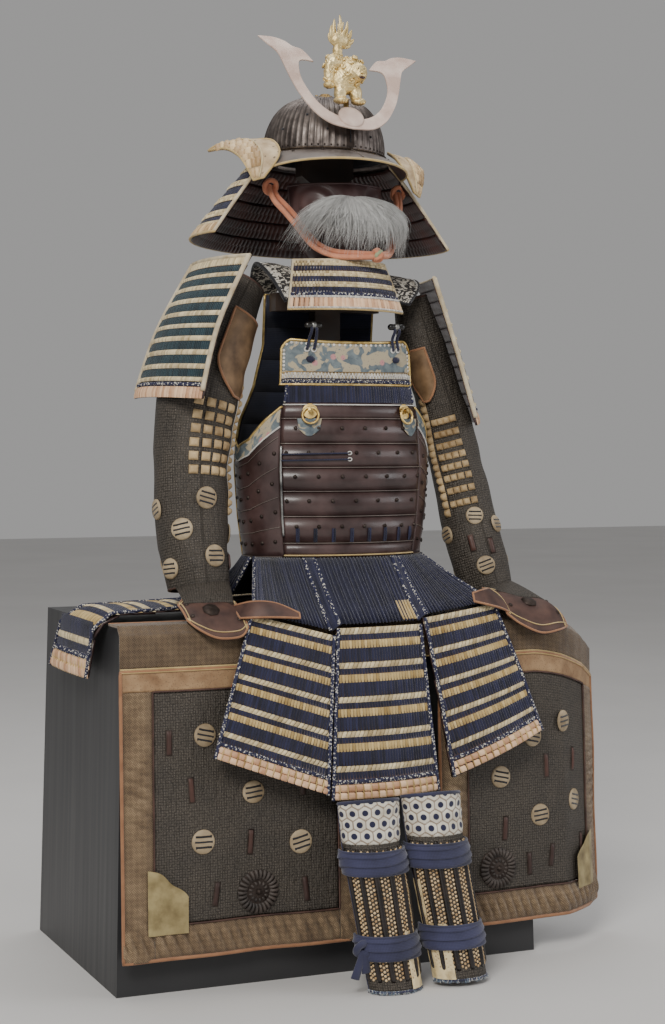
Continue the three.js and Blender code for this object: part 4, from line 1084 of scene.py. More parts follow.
def even_down(surface):
    """The same surface with t in proportion to the length down its middle."""
    run = shares(60)
    line = surface(np.full(60, 0.5), run)
    length = np.concatenate([[0], np.cumsum(np.linalg.norm(np.diff(line, axis=0), axis=1))])
    return lambda s, t, out=0: surface(s, np.interp(t, length / length[-1], run), out)


def make_tasset(name, rows):
    surface = even_down(row_surface(rows)) if len(rows) > 2 else row_surface(rows)
    pile = Pile()
    lames = 5
    edges = np.linspace(0, 1, lames + 1)
    lame_shell(pile, surface, edges, 4, 2.5, "brown_lacquer")
    lacing = Lacing(surface)
    tall = 1 / lames
    for k, top in enumerate(edges[:-1]):
        last = k == lames - 1
        lacing.row("cream", top, top + 0.19 * tall, 1.0)
        lacing.row("navy", top + 0.19 * tall, top + (0.4 if last else 0.36) * tall, 0.6)
        if last:
            lacing.row("knots", top + 0.41 * tall, top + 0.55 * tall, 1.2)
            lacing.row("peach", top + 0.56 * tall, top + 0.77 * tall, 1.4, narrow=0.97)
            lacing.row("peach", top + 0.78 * tall, top + 0.995 * tall, 1.8, narrow=0.97)
            lacing.row("cream_gaps", top + 0.55 * tall, top + 0.99 * tall, 1.8, shift=0.5)
        else:
            lacing.row("gold", top + 0.37 * tall, top + 0.61 * tall, 1.2)
            lacing.row("navy", top + 0.6 * tall, top + 1.01 * tall, 2.2)
    for side, inset in (("left", 0.012), ("right", 0.012)):
        pile.tube(edge_line(surface, side, 3.2, 60, inset), 3.2, "speckled", 8)
    tasset = joined(
        f"tasset_{name}_laced", [pile.make(f"tasset_{name}_lames"), *lacing.parts(f"tasset_{name}")]
    )
    finished(tasset, "navy_lacing", f"tasset_{name}")


for tasset_name, tasset_rows in TASSETS.items():
    make_tasset(tasset_name, tasset_rows)

CORD_FEET = {
    "front": [
        (-74, (-224, -250, 612)), (-52, (-155, -266, 594)), (-32, (-90, -269, 577)), (-26, (-78, -272, 587)),
        (0, (-4, -277, 588)), (26, (66, -271, 590)), (31, (80, -270, 599)), (50, (148, -268, 608)),
        (72, (215, -252, 617)),
    ],
    "side_right": [(-122, (-200, 56, 612)), (-98, (-202, -4, 614)), (-78, (-200, -62, 612))],
    "side_left": [(76, (200, -62, 612)), (98, (202, -4, 614)), (122, (200, 56, 612))],
    "back": [
        (126, (148, 82, 612)), (154, (80, 84, 614)), (178, (6, 84, 612)), (206, (-80, 84, 614)),
        (234, (-148, 82, 612))
    ],
}
# Places along each bunch, as shares, where speckled edge cords run.
EDGE_CORDS = {
    "front": (0.005, 0.245, 0.375, 0.625, 0.75, 0.995), "side_right": (0.01, 0.99),
    "side_left": (0.01, 0.99), "back": (0.01, 0.49, 0.51, 0.99)
}


def hanging_surface(feet):
    degrees = np.array([f[0] for f in feet], float)
    ends = np.array([f[1] for f in feet], float)
    along = np.linspace(0, 1, len(feet))

    def surface(s, t, out=0):
        s, t, out = full(s, t, out)
        angle = np.interp(s, along, degrees)
        top = torso(angle, WAIST_Z - 0.6, out)
        ahead = unit(torso(angle, WAIST_Z, 10) - torso(angle, WAIST_Z, 0))
        foot = np.stack([np.interp(s, along, ends[:, k]) for k in range(3)], -1) + ahead * out[..., None]
        sag = np.sin(np.pi * t)[..., None] * np.array((0, 0, -1.0))
        return top * (1 - t[..., None]) + foot * t[..., None] + sag * 3

    return surface


def make_hanging_cords(name, feet):
    surface = hanging_surface(feet)
    pile = Pile()
    run = shares(14)
    walled(surface, shares(44), shares(6), 2.4, pile, "navy", -1.2)
    line = surface(shares(40), np.full(40, 0.5))
    width = np.linalg.norm(np.diff(line, axis=0), axis=1).sum()
    chance = random.Random(len(name))
    count = round(width / 4.4)
    for k in range(count):
        s = (k + 0.5) / count
        if min(abs(s - e) for e in EDGE_CORDS[name]) < 2.2 / width * 2:
            continue
        wander = chance.uniform(-0.3, 0.3) / count
        lift = 0.8 + 1.4 * chance.random() * np.sin(np.pi * run) + 0.5
        shade = chance.random()
        points = surface(s + wander * np.sin(np.pi * run), run, lift)
        pile.tube(points, 2.1, "navy", 6, shade=shade, flat=0.8)
    for s in EDGE_CORDS[name]:
        pile.tube(surface(np.full(14, s), run, 2.2), 3.1, "speckled", 8)
    if name == "front":
        for k in range(5):
            pile.tube(
                surface(np.full(6, 0.575 + k * 0.01), np.linspace(0.68, 0.98, 6), 2.6), 2.3, "gold_cord", 6
            )
    finished(pile.make(f"hanging_cords_{name}_bunch"), "navy_lacing", f"hanging_cords_{name}")


for bunch_name, bunch_feet in CORD_FEET.items():
    make_hanging_cords(bunch_name, bunch_feet)

# ---- shoulder guards -----------------------------------------------------------------------------

SHOULDER_GUARDS = {
    "right": ((-1, -0.1, 0.1), [
        ((-226, 36, 1202), (-206, -192, 1200), 14), ((-284, 60, 1085), (-262, -196, 1082), 24),
        ((-318, 88, 965), (-292, -196, 960), 26),
    ]),
    "left": ((1, -0.42, 0.25), [
        ((163, -134, 1178), (236, 78, 1184), 12), ((206, -138, 1048), (290, 92, 1054), 16),
        ((246, -140, 918), (338, 104, 924), 16),
    ]),
}


def make_shoulder_guard(side, outward, rows):
    surface = row_surface(rows, outward, smooth=True)
    pile = Pile()
    count = 9
    edges = np.concatenate([[0, 0.1], np.linspace(0.1, 0.85, count + 1)[1:], [1]])
    lame_shell(pile, surface, edges, 4, 2.0, "brown_lacquer")
    lacing = Lacing(surface)
    lacing.row("cream_bars", 0.0, 0.1, 1.4)
    tall = 0.75 / count
    for k in range(count):
        top = 0.1 + k * tall
        lacing.row("teal", top, top + 0.64 * tall, 1.2, 0.02, 0.98)
        lacing.row("fine_cream", top + 0.63 * tall, top + 0.99 * tall, 2.4, 0.02, 0.98)
    lacing.row("knots", 0.855, 0.885, 2.0)
    lacing.row("slats", 0.885, 0.99, 2.2, narrow=0.98)
    for edge in ("left", "right"):
        pile.tube(edge_line(surface, edge, 2.2, 50, 0.004)[:46], 4.2, "cream_leather", 8)
    pile.tube(edge_line(surface, "top", 1, 30), 4.0, "cream_leather", 8)
    guard = joined(
        f"shoulder_guard_{side}_laced", [pile.make(f"guard_{side}"), *lacing.parts(f"guard_{side}")]
    )
    finished(guard, "teal_lacing", f"shoulder_guard_{side}")


for guard_side, (guard_outward, guard_rows) in SHOULDER_GUARDS.items():
    make_shoulder_guard(guard_side, guard_outward, guard_rows)

# ---- cuirass ---------------------------------------------------------------------------------------


def front_edges():
    top = LAME_EDGES[0]
    return [(top - z) / (top - WAIST_Z) for z in LAME_EDGES]


def front_surface(s, t, out=0):
    s, t, out = full(s, t, out)
    return torso(
        FRONT_FROM + (FRONT_TO - FRONT_FROM) * s, LAME_EDGES[0] + (WAIST_Z - LAME_EDGES[0]) * t, out
    )


ARMHOLE = [(0, 950), (12, 925), (26, 893), (42, 880), (56, 895)]


def side_surface(side):
    start = (46 if side < 0 else 49) + 0.6

    def surface(s, t, out=0):
        s, t, out = full(s, t, out)
        turn = 56 * (1 - s) if side < 0 else 56 * s
        top = np.interp(turn, *zip(*ARMHOLE))
        return torso(side * (start + turn), top + (WAIST_Z - top) * t, out)

    return surface


BACK_Z, BACK_HALF = (690, 890, 960, 1060, 1150), (72, 72, 56, 42, 44)


def back_surface(s, t, out=0):
    s, t, out = full(s, t, out)
    z = 1150 + (WAIST_Z - 1150) * t
    half = np.interp(z, BACK_Z, BACK_HALF)
    return torso(180 + half * (2 * s - 1), z, out)


def chest_surface(s, t, out=0):
    s, t, out = full(s, t, out)
    side = np.abs(2 * s - 1)
    dip = 7 * (1 - side**2) + 22 * np.clip((side - 0.82) / 0.18, 0, None) ** 2
    top = 1068 - dip
    return torso(-51 + 102 * s, top + (987 - top) * t, out)


def lacing_surface(s, t, out=0):
    s, t, out = full(s, t, out)
    return torso(FRONT_FROM + (FRONT_TO - FRONT_FROM) * s, 986.7 + (956.3 - 986.7) * t, out)


def pale_line(pile, surface, t, out, stuff="gold_cord", start=0.0, end=1.0, thick=0.7):
    run = np.linspace(start, end, 50)
    pile.tube(surface(run, np.full(50, t), out), thick, stuff, 5)


def make_front_plate():
    edges = front_edges()
    pile = Pile()
    lame_shell(pile, front_surface, edges, 3, 0.6, "brown_lacquer", 40, lining="lining")
    # A thin rod of paler lacquer along each lame edge: its pale colour is a painted highlight where the edge
    # catches the light.
    for edge in edges[1:-1]:
        pale_line(pile, front_surface, edge - 0.004, 1.9, "visor_lacquer", thick=0.8)
    pale_line(pile, front_surface, 0.012, 1.4, "white", thick=1.3)
    pale_line(pile, front_surface, 0.985, 2.2, "gold_cord", thick=1.5)
    rivets, loops = [], []
    for row in range(1, 6):
        middle = edges[row] + (edges[row + 1] - edges[row]) * 0.36
        across = np.linspace(0.07, 0.95, 7) + (0.03 if row % 2 else -0.03)
        rivets.append(seats(front_surface, across, middle, 1.2))
    for share in np.linspace(0.1, 0.92, 8):
        t = edges[6] + (edges[7] - edges[6]) * 0.5
        loops.append(seats(front_surface, share, t - 0.1, 1.8))
        loops.append(seats(front_surface, share + 0.012, t - 0.1, 1.8))
    for middle in (0.19, 0.9):
        u, v = np.meshgrid(np.linspace(-1, 1, 12), shares(14))
        point = 0.078 * (1 - 0.25 * v) * np.clip((1.02 - v) / 0.4, 0, 1) ** 0.6
        tab = front_surface(middle + u * point, 0.1 + 0.115 * v, 2.6)
        pile.sheet(tab, tab + (0, 1.4, 0), "printed", lay=measured(tab))
    for t in (0.325, 0.365):
        run = np.linspace(0.43, 0.004, 30)
        pile.tube(front_surface(run, t + 0.02 * (0.43 - run), 3.4), 1.5, "navy", 8)
        turns = turns_of(20)
        pile.tube(
            front_surface(0.436 + 0.012 * np.cos(turns), t + 0.01 * np.sin(turns), 2.0), 1.0, "white", 6,
            closed=True
        )
    rod = np.linspace(0.28, 0.86, 24)
    pile.tube(front_surface(np.full(24, 0.006), rod, 3.0), 2.2, "silver", 8)
    heads = repeated("front_rivets", rivets, RIVET, "iron", (3.7, 3.7, 2.4))
    ties = repeated("front_ties", loops, CORD_BAR, "navy", (3.6, 24, 2.6))
    plate = joined("front_plate_lames", [pile.make("front_plate"), heads, ties])
    finished(plate, "brown_lacquer", "front_plate")


def make_side_plate(name, side):
    surface = side_surface(side)
    pile = Pile()
    s, t = np.meshgrid(shares(26), shares(22))
    ridge = 1.1 * np.clip(1 - ((t * 5) % 1) * 4, 0, 1) * (t > 0.15)
    pile.sheet(surface(s, t, ridge), surface(s, t, ridge - 3), "brown_lacquer", lining="lining")
    top = surface(*np.meshgrid(np.linspace(0.01, 0.99, 26), np.linspace(0.0, 0.13, 5)), 1.2)
    pile.grid(top, "printed", lay=measured(top))
    rim = edge_line(surface, "top", 0.8, 40)
    pile.tube(rim, 2.2, "gold", 8)
    pile.tube(edge_line(surface, "top", 1.6, 40, 0.135), 1.5, "white", 6)
    # A thin rod of paler lacquer along each lame edge: its pale colour is a painted highlight where the edge
    # catches the light.
    for k in range(1, 6):
        pale_line(pile, surface, k / 5 - 0.005, 1.3, "visor_lacquer", 0.02, 0.98)
    rivets = [
        seats(surface, np.linspace(0.1, 0.9, 5) + 0.03 * (k % 2), (k + 0.45) / 5, 0.9) for k in range(1, 5)
    ]
    plate = joined(
        f"{name}_lames",
        [pile.make(name), repeated(f"{name}_rivets", rivets, RIVET, "iron", (3.6, 3.6, 2.2))]
    )
    finished(plate, "brown_lacquer", name)


def make_back_plate():
    pile = Pile()
    edges = shares(9)
    lame_shell(pile, back_surface, edges, 3, 1.4, "brown_lacquer", 40, lining="lining")
    # A thin rod of paler lacquer along each lame edge: its pale colour is a painted highlight where the edge
    # catches the light.
    for edge in edges[1:-1]:
        pale_line(pile, back_surface, edge - 0.003, 2.0, "visor_lacquer")
    for side in ("left", "right"):
        pile.tube(edge_line(back_surface, side, 0.6, 60), 2.4, "gold", 8)
    top = back_surface(*np.meshgrid(np.linspace(0.02, 0.98, 30), np.linspace(0.005, 0.1, 6)), 1.6)
    pile.grid(top, "printed", lay=measured(top))
    pile.tube(edge_line(back_surface, "top", 0.6, 40), 2.4, "gold", 8)
    rivets = [seats(back_surface, np.linspace(0.08, 0.92, 7), (k + 0.4) / 8, 1.0) for k in range(1, 7)]
    plate = joined(
        "back_plate_lames",
        [pile.make("back_plate"), repeated("back_rivets", rivets, RIVET, "iron", (3.8, 3.8, 2.4))]
    )
    finished(plate, "brown_lacquer", "back_plate")


def make_chest_plate():
    pile = Pile()
    walled(chest_surface, shares(60), shares(14), 3, pile, "printed", lining="lining")
    rim = all_round(chest_surface, 0.6, 50, 16, 0.008)
    pile.tube(rim, 2.4, "gold", 8, closed=True)
    lower = chest_surface(*np.meshgrid(np.linspace(0.012, 0.988, 50), np.linspace(0.72, 0.985, 4)), 0.7)
    pile.grid(lower, "cream_leather", lay=measured(lower))
    pale_line(pile, chest_surface, 0.71, 1.3, "bronze", 0.01, 0.99, 0.9)
    pale_line(pile, chest_surface, 0.86, 1.6, "navy", 0.01, 0.99, 0.9)
    dots, stitches, stitches_back, knots = [], [], [], []
    dots.append(seats(chest_surface, np.linspace(0.05, 0.95, 26), 0.075, 0.6))
    for inset in (0.03, 0.97):
        dots.append(seats(chest_surface, np.full(6, inset), np.linspace(0.16, 0.62, 6), 0.6))
    count = 44
    stitches.append(
        seats(chest_surface, (np.arange(count) + 0.3) / count * 0.97 + 0.015, 0.785, 1.2, turn=-24)
    )
    stitches_back.append(
        seats(chest_surface, (np.arange(count) + 0.8) / count * 0.97 + 0.015, 0.785, 1.2, turn=24)
    )
    knots.append(seats(chest_surface, np.linspace(0.02, 0.98, 62), 0.925, 1.2, turn=-35))
    parts = [
        pile.make("chest_plate"),
        repeated("chest_dots", dots, RIVET, "white", (2.6, 2.6, 1.2)),
        repeated("chest_stitches", stitches, CORD_BAR, "white", (1.6, 11, 1.3)),
        repeated("chest_stitches_back", stitches_back, CORD_BAR, "white", (1.6, 11, 1.3)),
        repeated("chest_knots", knots, LOZENGE, "speckled", (3.2, 8, 2.4)),
    ]
    finished(joined("chest_plate_leather", parts), "printed_leather", "chest_plate")


def make_chest_lacing():
    pile = Pile()
    walled(lacing_surface, shares(30), shares(3), 3, pile, "brown_lacquer")
    lacing = Lacing(lacing_surface)
    lacing.row("navy", 0.0, 1.0, 0.4, narrow=0.98)
    for edge in ("left", "right"):
        pile.tube(edge_line(lacing_surface, edge, 1.6, 10, 0.012), 2.4, "speckled", 8)
    band = joined("chest_lacing_cords", [pile.make("chest_band"), *lacing.parts("chest_band")])
    finished(band, "navy_lacing", "chest_lacing")


STRAPS = {
    "right": [
        ((-126, 24, 1150), (-72, 28, 1160), 3), ((-136, -30, 1202), (-76, -30, 1196), 4),
        ((-126, -80, 1178), (-74, -80, 1180), 4), ((-112, -112, 1134), (-62, -118, 1140), 3),
    ],
    "left": [
        ((72, 28, 1160), (130, 24, 1150), 3), ((78, -30, 1190), (160, -36, 1180), 4),
        ((80, -80, 1172), (162, -80, 1168), 4), ((76, -118, 1134), (128, -112, 1134), 3),
    ],
}


def swirled_leather_finish():
    """Black leather with loose white swirls."""
    f = Finish("swirled_leather", (0.02, 0.02, 0.022), 0.7)
    lay = f.attribute("lay")
    swirl = f.ramp(f.noise(62, 3, 0.5, lay, 2.6), (0.5, 0), (0.54, 1))
    f.set("Base Color", f.mix(swirl, (0.025, 0.022, 0.022), (0.62, 0.58, 0.5)))
    f.bump(f.noise(320, 3), 0.3, 0.4)
    return f.material


STUFF["swirled"] = swirled_leather_finish()


def make_strap(side, rows):
    surface = row_surface(rows, (0, -0.35, 1), smooth=True)
    pile = Pile()
    walled(surface, shares(12), shares(26), 5, pile, "swirled", edge="black_cord")
    for edge in ("left", "right"):
        line = edge_line(surface, edge, 0, 40, 0.01)
        pile.tube(line, 2.6, "black_cord", 8)
    fringe = [
        seats(surface, np.full(22, inset), np.linspace(0.05, 0.95, 22), 1.0, turn=90)
        for inset in (0.07, 0.93)
    ]
    strap = joined(f"shoulder_strap_{side}_leather", [
        pile.make(f"strap_{side}"), repeated(
            f"strap_{side}_stitches", fringe, CORD_BAR, "white", (1.6, 5, 1.2)
        ),
    ])
    finished(strap, "printed_leather", f"shoulder_strap_{side}")


TOGGLE = {"y": -148, "z": 1089, "right": -73, "left": 84}


def make_toggle(side):
    x = TOGGLE[side]
    pile = Pile()
    run = np.linspace(-1, 1, 21)
    line = np.stack([x + run * 17, np.full(21, TOGGLE["y"]), np.full(21, TOGGLE["z"])], -1)
    girth = 5.6 * np.clip(1 - np.abs(run) ** 7, 0.05, 1) * (1 - 0.12 * np.cos(run * math.pi))
    pile.tube(line, girth, "horn", 14)
    collar = line[8:13] + (0, 0, 0)
    pile.tube(collar, 5.9, "silver", 14)
    finished(pile.make(f"toggle_{side}_bar"), "horn", f"toggle_{side}")
    cords = Pile()
    for offset in (-5.5, 5.5):
        share = 0.5 + (math.degrees(math.asin((x + offset) / 152)) / 102)
        eyelet = chest_surface(share, 0.2, 1.6)
        loop = [
            (x + offset * 0.5, TOGGLE["y"] + 9, TOGGLE["z"] + 3),
            (x + offset * 0.8, TOGGLE["y"] - 4, TOGGLE["z"] - 7),
            (x + offset, float(eyelet[1]) - 3.5, TOGGLE["z"] - 22),
            tuple(eyelet - (0, 1.5, 0)),
        ]
        cords.tube(curve_through(loop, 16), 2.6, "navy", 8)
        ring = lathe([(5.2, 0), (5.0, 1.6), (3.6, 2.2), (2.6, 1.4), (2.4, 0)], 16)
        cords.grid(turned_to(ring, chest_surface, share, 0.2, 0.4), "white", closed=True)
    share = 0.5 + math.degrees(math.asin(x / 152)) / 102
    knot = turned_to(
        lathe([(8, 0), (7.6, 2.6), (5.6, 5), (2.6, 6.2), (0.1, 6.4)], 14) * (1, 0.72, 1), chest_surface,
        share, 0.42, 0.6
    )
    cords.grid(knot, "navy", closed=True)
    finished(cords.make(f"toggle_{side}_cords"), "navy_lacing")


def turned_to(points, surface, s, t, out=0.0):
    """Points of a small piece laid at one place of a surface."""
    place, angles = seats(surface, np.array([float(s)]), np.array([float(t)]), out)
    turn = np.array(Euler(angles[0]).to_matrix())
    return points @ turn.T + place[0]


make_front_plate()
make_side_plate("side_plate_right", -1)
make_side_plate("side_plate_left", 1)
make_back_plate()
make_chest_plate()
make_chest_lacing()
for strap_side, strap_rows in STRAPS.items():
    make_strap(strap_side, strap_rows)
    make_toggle(strap_side)


def gilt(node, width=0.5):
    softened(node, "gold", width, 2)
    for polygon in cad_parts[node].data.polygons:
        polygon.use_smooth = True


for ring_side in ("right", "left"):
    gilt(f"ring_post_{ring_side}", 0.3)
    gilt(f"ring_{ring_side}", 0.3)

# ---- helmet ------------------------------------------------------------------------------------------


def bowl_surface(s, t, out=0):
    s, t, out = full(s, t, out)
    height = np.clip(np.cos(t * np.pi / 2), 0, 1) ** 0.9
    size = 0.1 + 0.9 * np.sin(t * np.pi / 2) ** 0.72
    return round_head(
        s * 360 + 180, HELMET["wide"] * size + out, HELMET["long"] * size + out,
        HELMET["base"] + (HELMET["height"] - 6 + out) * height,
    )


def make_bowl():
    pile = Pile()
    plates = 60
    columns = plates * 6
    share = np.linspace(0, 1, columns, endpoint=False)
    down = shares(22) ** 0.8
    s, t = np.meshgrid(share, down)
    across = (s * plates) % 1
    ridge = np.clip(1 - np.abs(across - 0.5) / 0.2, 0, 1) ** 0.7
    fade = np.clip(t * 5, 0, 1) * np.clip((1 - t) * 16, 0, 1)
    outer = bowl_surface(s, t, 1.8 * ridge * fade)
    pile.sheet(outer, bowl_surface(s, t, -3), "bowl_iron", closed=True, lining="black_cord")
    run = np.linspace(0, 1, 120, endpoint=False)
    pile.tube(bowl_surface(run, np.full(120, 0.985), 1.2), 1.5, "bronze", 6, closed=True)
    finial = [
        (26, -1.5), (25, 1.6), (19, 2.4), (17.5, 4.4), (14, 4.6), (13, 7.5), (9.5, 8), (8, 11), (6.8, 11),
        (6.4, -2)
    ]
    top = bowl_surface(np.linspace(0, 1, 12, endpoint=False), np.full(12, 0.0)).mean(0)
    pile.grid(lathe(finial, 24) + top, "bronze", closed=True)
    petals = []
    for k in range(16):
        turn = k / 16
        petals.append(seats(bowl_surface, turn, 0.135, 2.0))
    studs = [seats(bowl_surface, (np.arange(plates) + 0.0) / plates, 0.955, 0.4)]
    heads = [
        seats(
            bowl_surface, np.array([0.38, 0.44, 0.62, 0.57, 0.31]), np.array([0.62, 0.8, 0.66, 0.84, 0.78]),
            0.8
        )
    ]
    tab = bowl_surface(*np.meshgrid(np.linspace(0.489, 0.511, 5), np.linspace(0.74, 0.97, 6)), 3.0)
    pile.grid(tab, "iron", lay=measured(tab))
    pile.tube(bowl_surface(np.full(8, 0.5), np.linspace(0.76, 0.93, 8), 3.4), 0.9, "black_cord", 5)
    bowl = joined("helmet_bowl_ribbed", [
        pile.make("bowl"), repeated("bowl_petals", petals, RIVET, "bronze", (3.4, 3.4, 1.8)),
        repeated("bowl_studs", studs, RIVET, "iron", (1.8, 1.8, 1.2)),
        repeated("bowl_heads", heads, RIVET, "black_cord", (2.6, 2.6, 1.8)),
    ])
    finished(bowl, "black_iron", "helmet_bowl")


def visor_surface(s, t, out=0):
    s, t, out = full(s, t, out)
    degrees = -67 + 134 * s
    front = np.clip(np.cos(np.radians(degrees / 67 * 90)), 0, 1)
    reach = 4 + t * (27 + 32 * front**0.8)
    drop = t * (34 - 12 * front)
    return round_head(
        degrees, HELMET["wide"] + reach, HELMET["long"] + reach, HELMET["base"] + 1 - drop + out
    )


def make_visor():
    pile = Pile()
    crown = lambda s, t: 2.2 * np.sin(np.pi * t) * (0.4 + 0.6 * np.sin(np.pi * s))
    walled(
        visor_surface, shares(60), shares(12), 3, pile, "visor_lacquer", shape=crown, lining="red_lacquer"
    )
    rim = np.concatenate(
        [edge_line(visor_surface, "left", 0, 10, 0.003)[:-1], edge_line(visor_surface, "bottom", -0.8, 80)]
    )
    rim = np.concatenate([rim[:-1], edge_line(visor_surface, "right", 0, 10, 0.003)[::-1]])
    pile.tube(rim, 2.1, "gold_cord", 8)
    pile.tube(edge_line(visor_surface, "top", 2.2, 60), 1.2, "iron", 6)
    pile.tube(visor_surface(np.full(10, 0.5), np.linspace(0.03, 0.95, 10), 2.4), 0.9, "visor_lacquer", 6)
    heads = [seats(visor_surface, np.array([0.12, 0.31, 0.69, 0.88]), 0.16, 1.5)]
    visor = joined(
        "helmet_visor_lacquered",
        [pile.make("visor"), repeated("visor_rivets", heads, RIVET, "iron", (3, 3, 1.8))]
    )
    finished(visor, "brown_lacquer", "helmet_visor")


def neck_surface(s, t, out=0):
    s, t, out = full(s, t, out)
    degrees = 180 + 106 * (2 * s - 1)
    radius = 119 + (230 - 119) * t**0.9 + out * 0.8
    back = 1 + 0.1 * t * np.cos(np.radians(degrees - 180))
    return round_head(degrees, radius, radius * back, 1382 + (1240 - 1382) * t + out * 0.6)


def make_neck_guard():
    pile = Pile()
    lames = 5
    edges = np.linspace(0, 1, lames + 1)
    lame_shell(pile, neck_surface, edges, 4, 3.0, "brown_lacquer", 60, lining="red_lacquer")
    round_back = np.linspace(74, 286, 70)
    flange = np.stack([round_head(round_back, 112, 122, 1394), round_head(round_back, 120, 120, 1381)])
    pile.sheet(flange, flange - (0, 0, 1.2), "bowl_iron")
    lacing = Lacing(neck_surface)
    inside = Lacing(lambda s, t, out=0: neck_surface(1 - np.asarray(s), t, -np.asarray(out)))
    tall = 1 / lames
    for k, top in enumerate(edges[:-1]):
        last = k == lames - 1
        if last:
            lacing.row("navy", top, top + 0.3 * tall, 1.0)
            lacing.row("fine_cream", top + 0.3 * tall, top + 0.42 * tall, 2.0)
            lacing.row("tan_bars", top + 0.43 * tall, top + 0.99 * tall, 2.0)
        else:
            lacing.row("navy", top, top + 0.56 * tall, 1.0)
            lacing.row("fine_cream", top + 0.55 * tall, top + 0.76 * tall, 2.0)
            lacing.row("fine_cream", top + 0.78 * tall, top + 0.99 * tall, 2.4)
        inside.row("red", top + 0.08 * tall, top + 0.5 * tall, 3.4)
        inside.row("red", top + 0.52 * tall, top + 0.94 * tall, 2.6)
    for edge in ("left", "right"):
        pile.tube(edge_line(neck_surface, edge, 1.5, 60, 0.003), 3.2, "cream_leather", 8)
    pile.tube(edge_line(neck_surface, "bottom", 1.4, 120), 2.4, "gold_cord", 8)
    guard = joined(
        "neck_guard_laced", [pile.make("neck_guard"), *lacing.parts("neck"), *inside.parts("neck_inside")]
    )
    finished(guard, "navy_lacing", "neck_guard")


TURN_BACKS = {
    "right": [
        ((-166, -104, 1338), (-152, -116, 1342), 1, (-0.5, -0.85, 0.1)),
        ((-178, -88, 1370), (-128, -124, 1378), 4, (-0.4, -0.8, 0.4)),
        ((-184, -60, 1390), (-121, -100, 1403), 6, (-0.3, -0.5, 0.8)),
        ((-192, -26, 1402), (-127, -56, 1418), 7, (-0.2, -0.3, 1)),
        ((-208, 10, 1402), (-172, -10, 1414), 5, (-0.2, -0.2, 1)),
    ],
    "left": [
        ((134, -116, 1330), (150, -104, 1324), 1, (0.5, -0.85, 0.1)),
        ((110, -124, 1368), (166, -86, 1356), 4, (0.4, -0.8, 0.4)),
        ((103, -100, 1393), (176, -64, 1372), 6, (0.3, -0.5, 0.8)),
        ((110, -56, 1407), (190, -34, 1380), 7, (0.3, -0.3, 1)),
        ((158, -10, 1400), (206, 0, 1374), 5, (0.4, -0.2, 1)),
    ],
}


def make_turn_back(side, rows):
    surface = row_surface(rows, smooth=True)
    pile = Pile()
    walled(surface, shares(24), shares(36), 3, pile, "tan_leather", lining="red_lacquer")
    pile.tube(all_round(surface, 0.4, 20, 30, 0.006), 1.9, "gold_cord", 8, closed=True)
    inner = 0.0 if side == "left" else 1.0
    seam = lambda share: abs(inner - share)
    pile.tube(surface(np.full(30, seam(0.46)), np.linspace(0.03, 0.96, 30), 1.0), 1.6, "cream", 6)
    scales = Lacing(lambda s, t, out=0: surface(1 - np.asarray(s), t, out))
    for k in range(8):
        top = 0.05 + k * 0.112
        low, high = sorted((1 - seam(0.5), 1 - seam(0.97)))
        scales.row("turned", top, top + 0.107, 0.3, low, high, narrow=0.94)
    back = joined(
        f"turn_back_{side}_leather", [pile.make(f"turn_back_{side}"), *scales.parts(f"turn_back_{side}")]
    )
    finished(back, "printed_leather", f"turn_back_{side}")


HORNS = {"x": -15, "y": -182, "z": 1425, "thick": 3, "lean": 35, "roll": 6, "disc": 23}
HORN_OUTER = [(0, -2), (38, 4), (66, 27), (88, 66), (100, 100), (109, 134), (117, 160), (134, 178)]
HORN_INNER = [
    (148, 193), (120, 195), (100, 189), (88, 180), (70, 174), (53, 150), (67, 151), (78, 147), (82, 132),
    (80, 100), (65, 62), (45, 36), (20, 22), (0, 18)
]


def horn_place(points):
    """From the flat crest, X across and Y up, to its place on the helmet."""
    x, y, z = (np.asarray(points, float)[..., k] for k in range(3))
    roll, tip = math.radians(-HORNS["roll"]), math.radians(90 - HORNS["lean"])
    x, y = x * math.cos(roll) - y * math.sin(roll), x * math.sin(roll) + y * math.cos(roll)
    y, z = y * math.cos(tip) - z * math.sin(tip), y * math.sin(tip) + z * math.cos(tip)
    return np.stack([x + HORNS["x"], y + HORNS["y"], z + HORNS["z"]], -1)


def make_horns():
    outer = smooth_rows_at(HORN_OUTER, shares(46))
    tip_part = smooth_rows_at(HORN_INNER[:6], shares(30))
    barb_part = smooth_rows_at(HORN_INNER[5:], shares(44))
    right = np.concatenate([outer[:-1], tip_part[:-1], barb_part[:-1]])
    left = (right * (-1, 1))[::-1]
    mesh_ring(np.concatenate([right[1:], [[0, 18]], left[:-1], [[0, -2]]]))


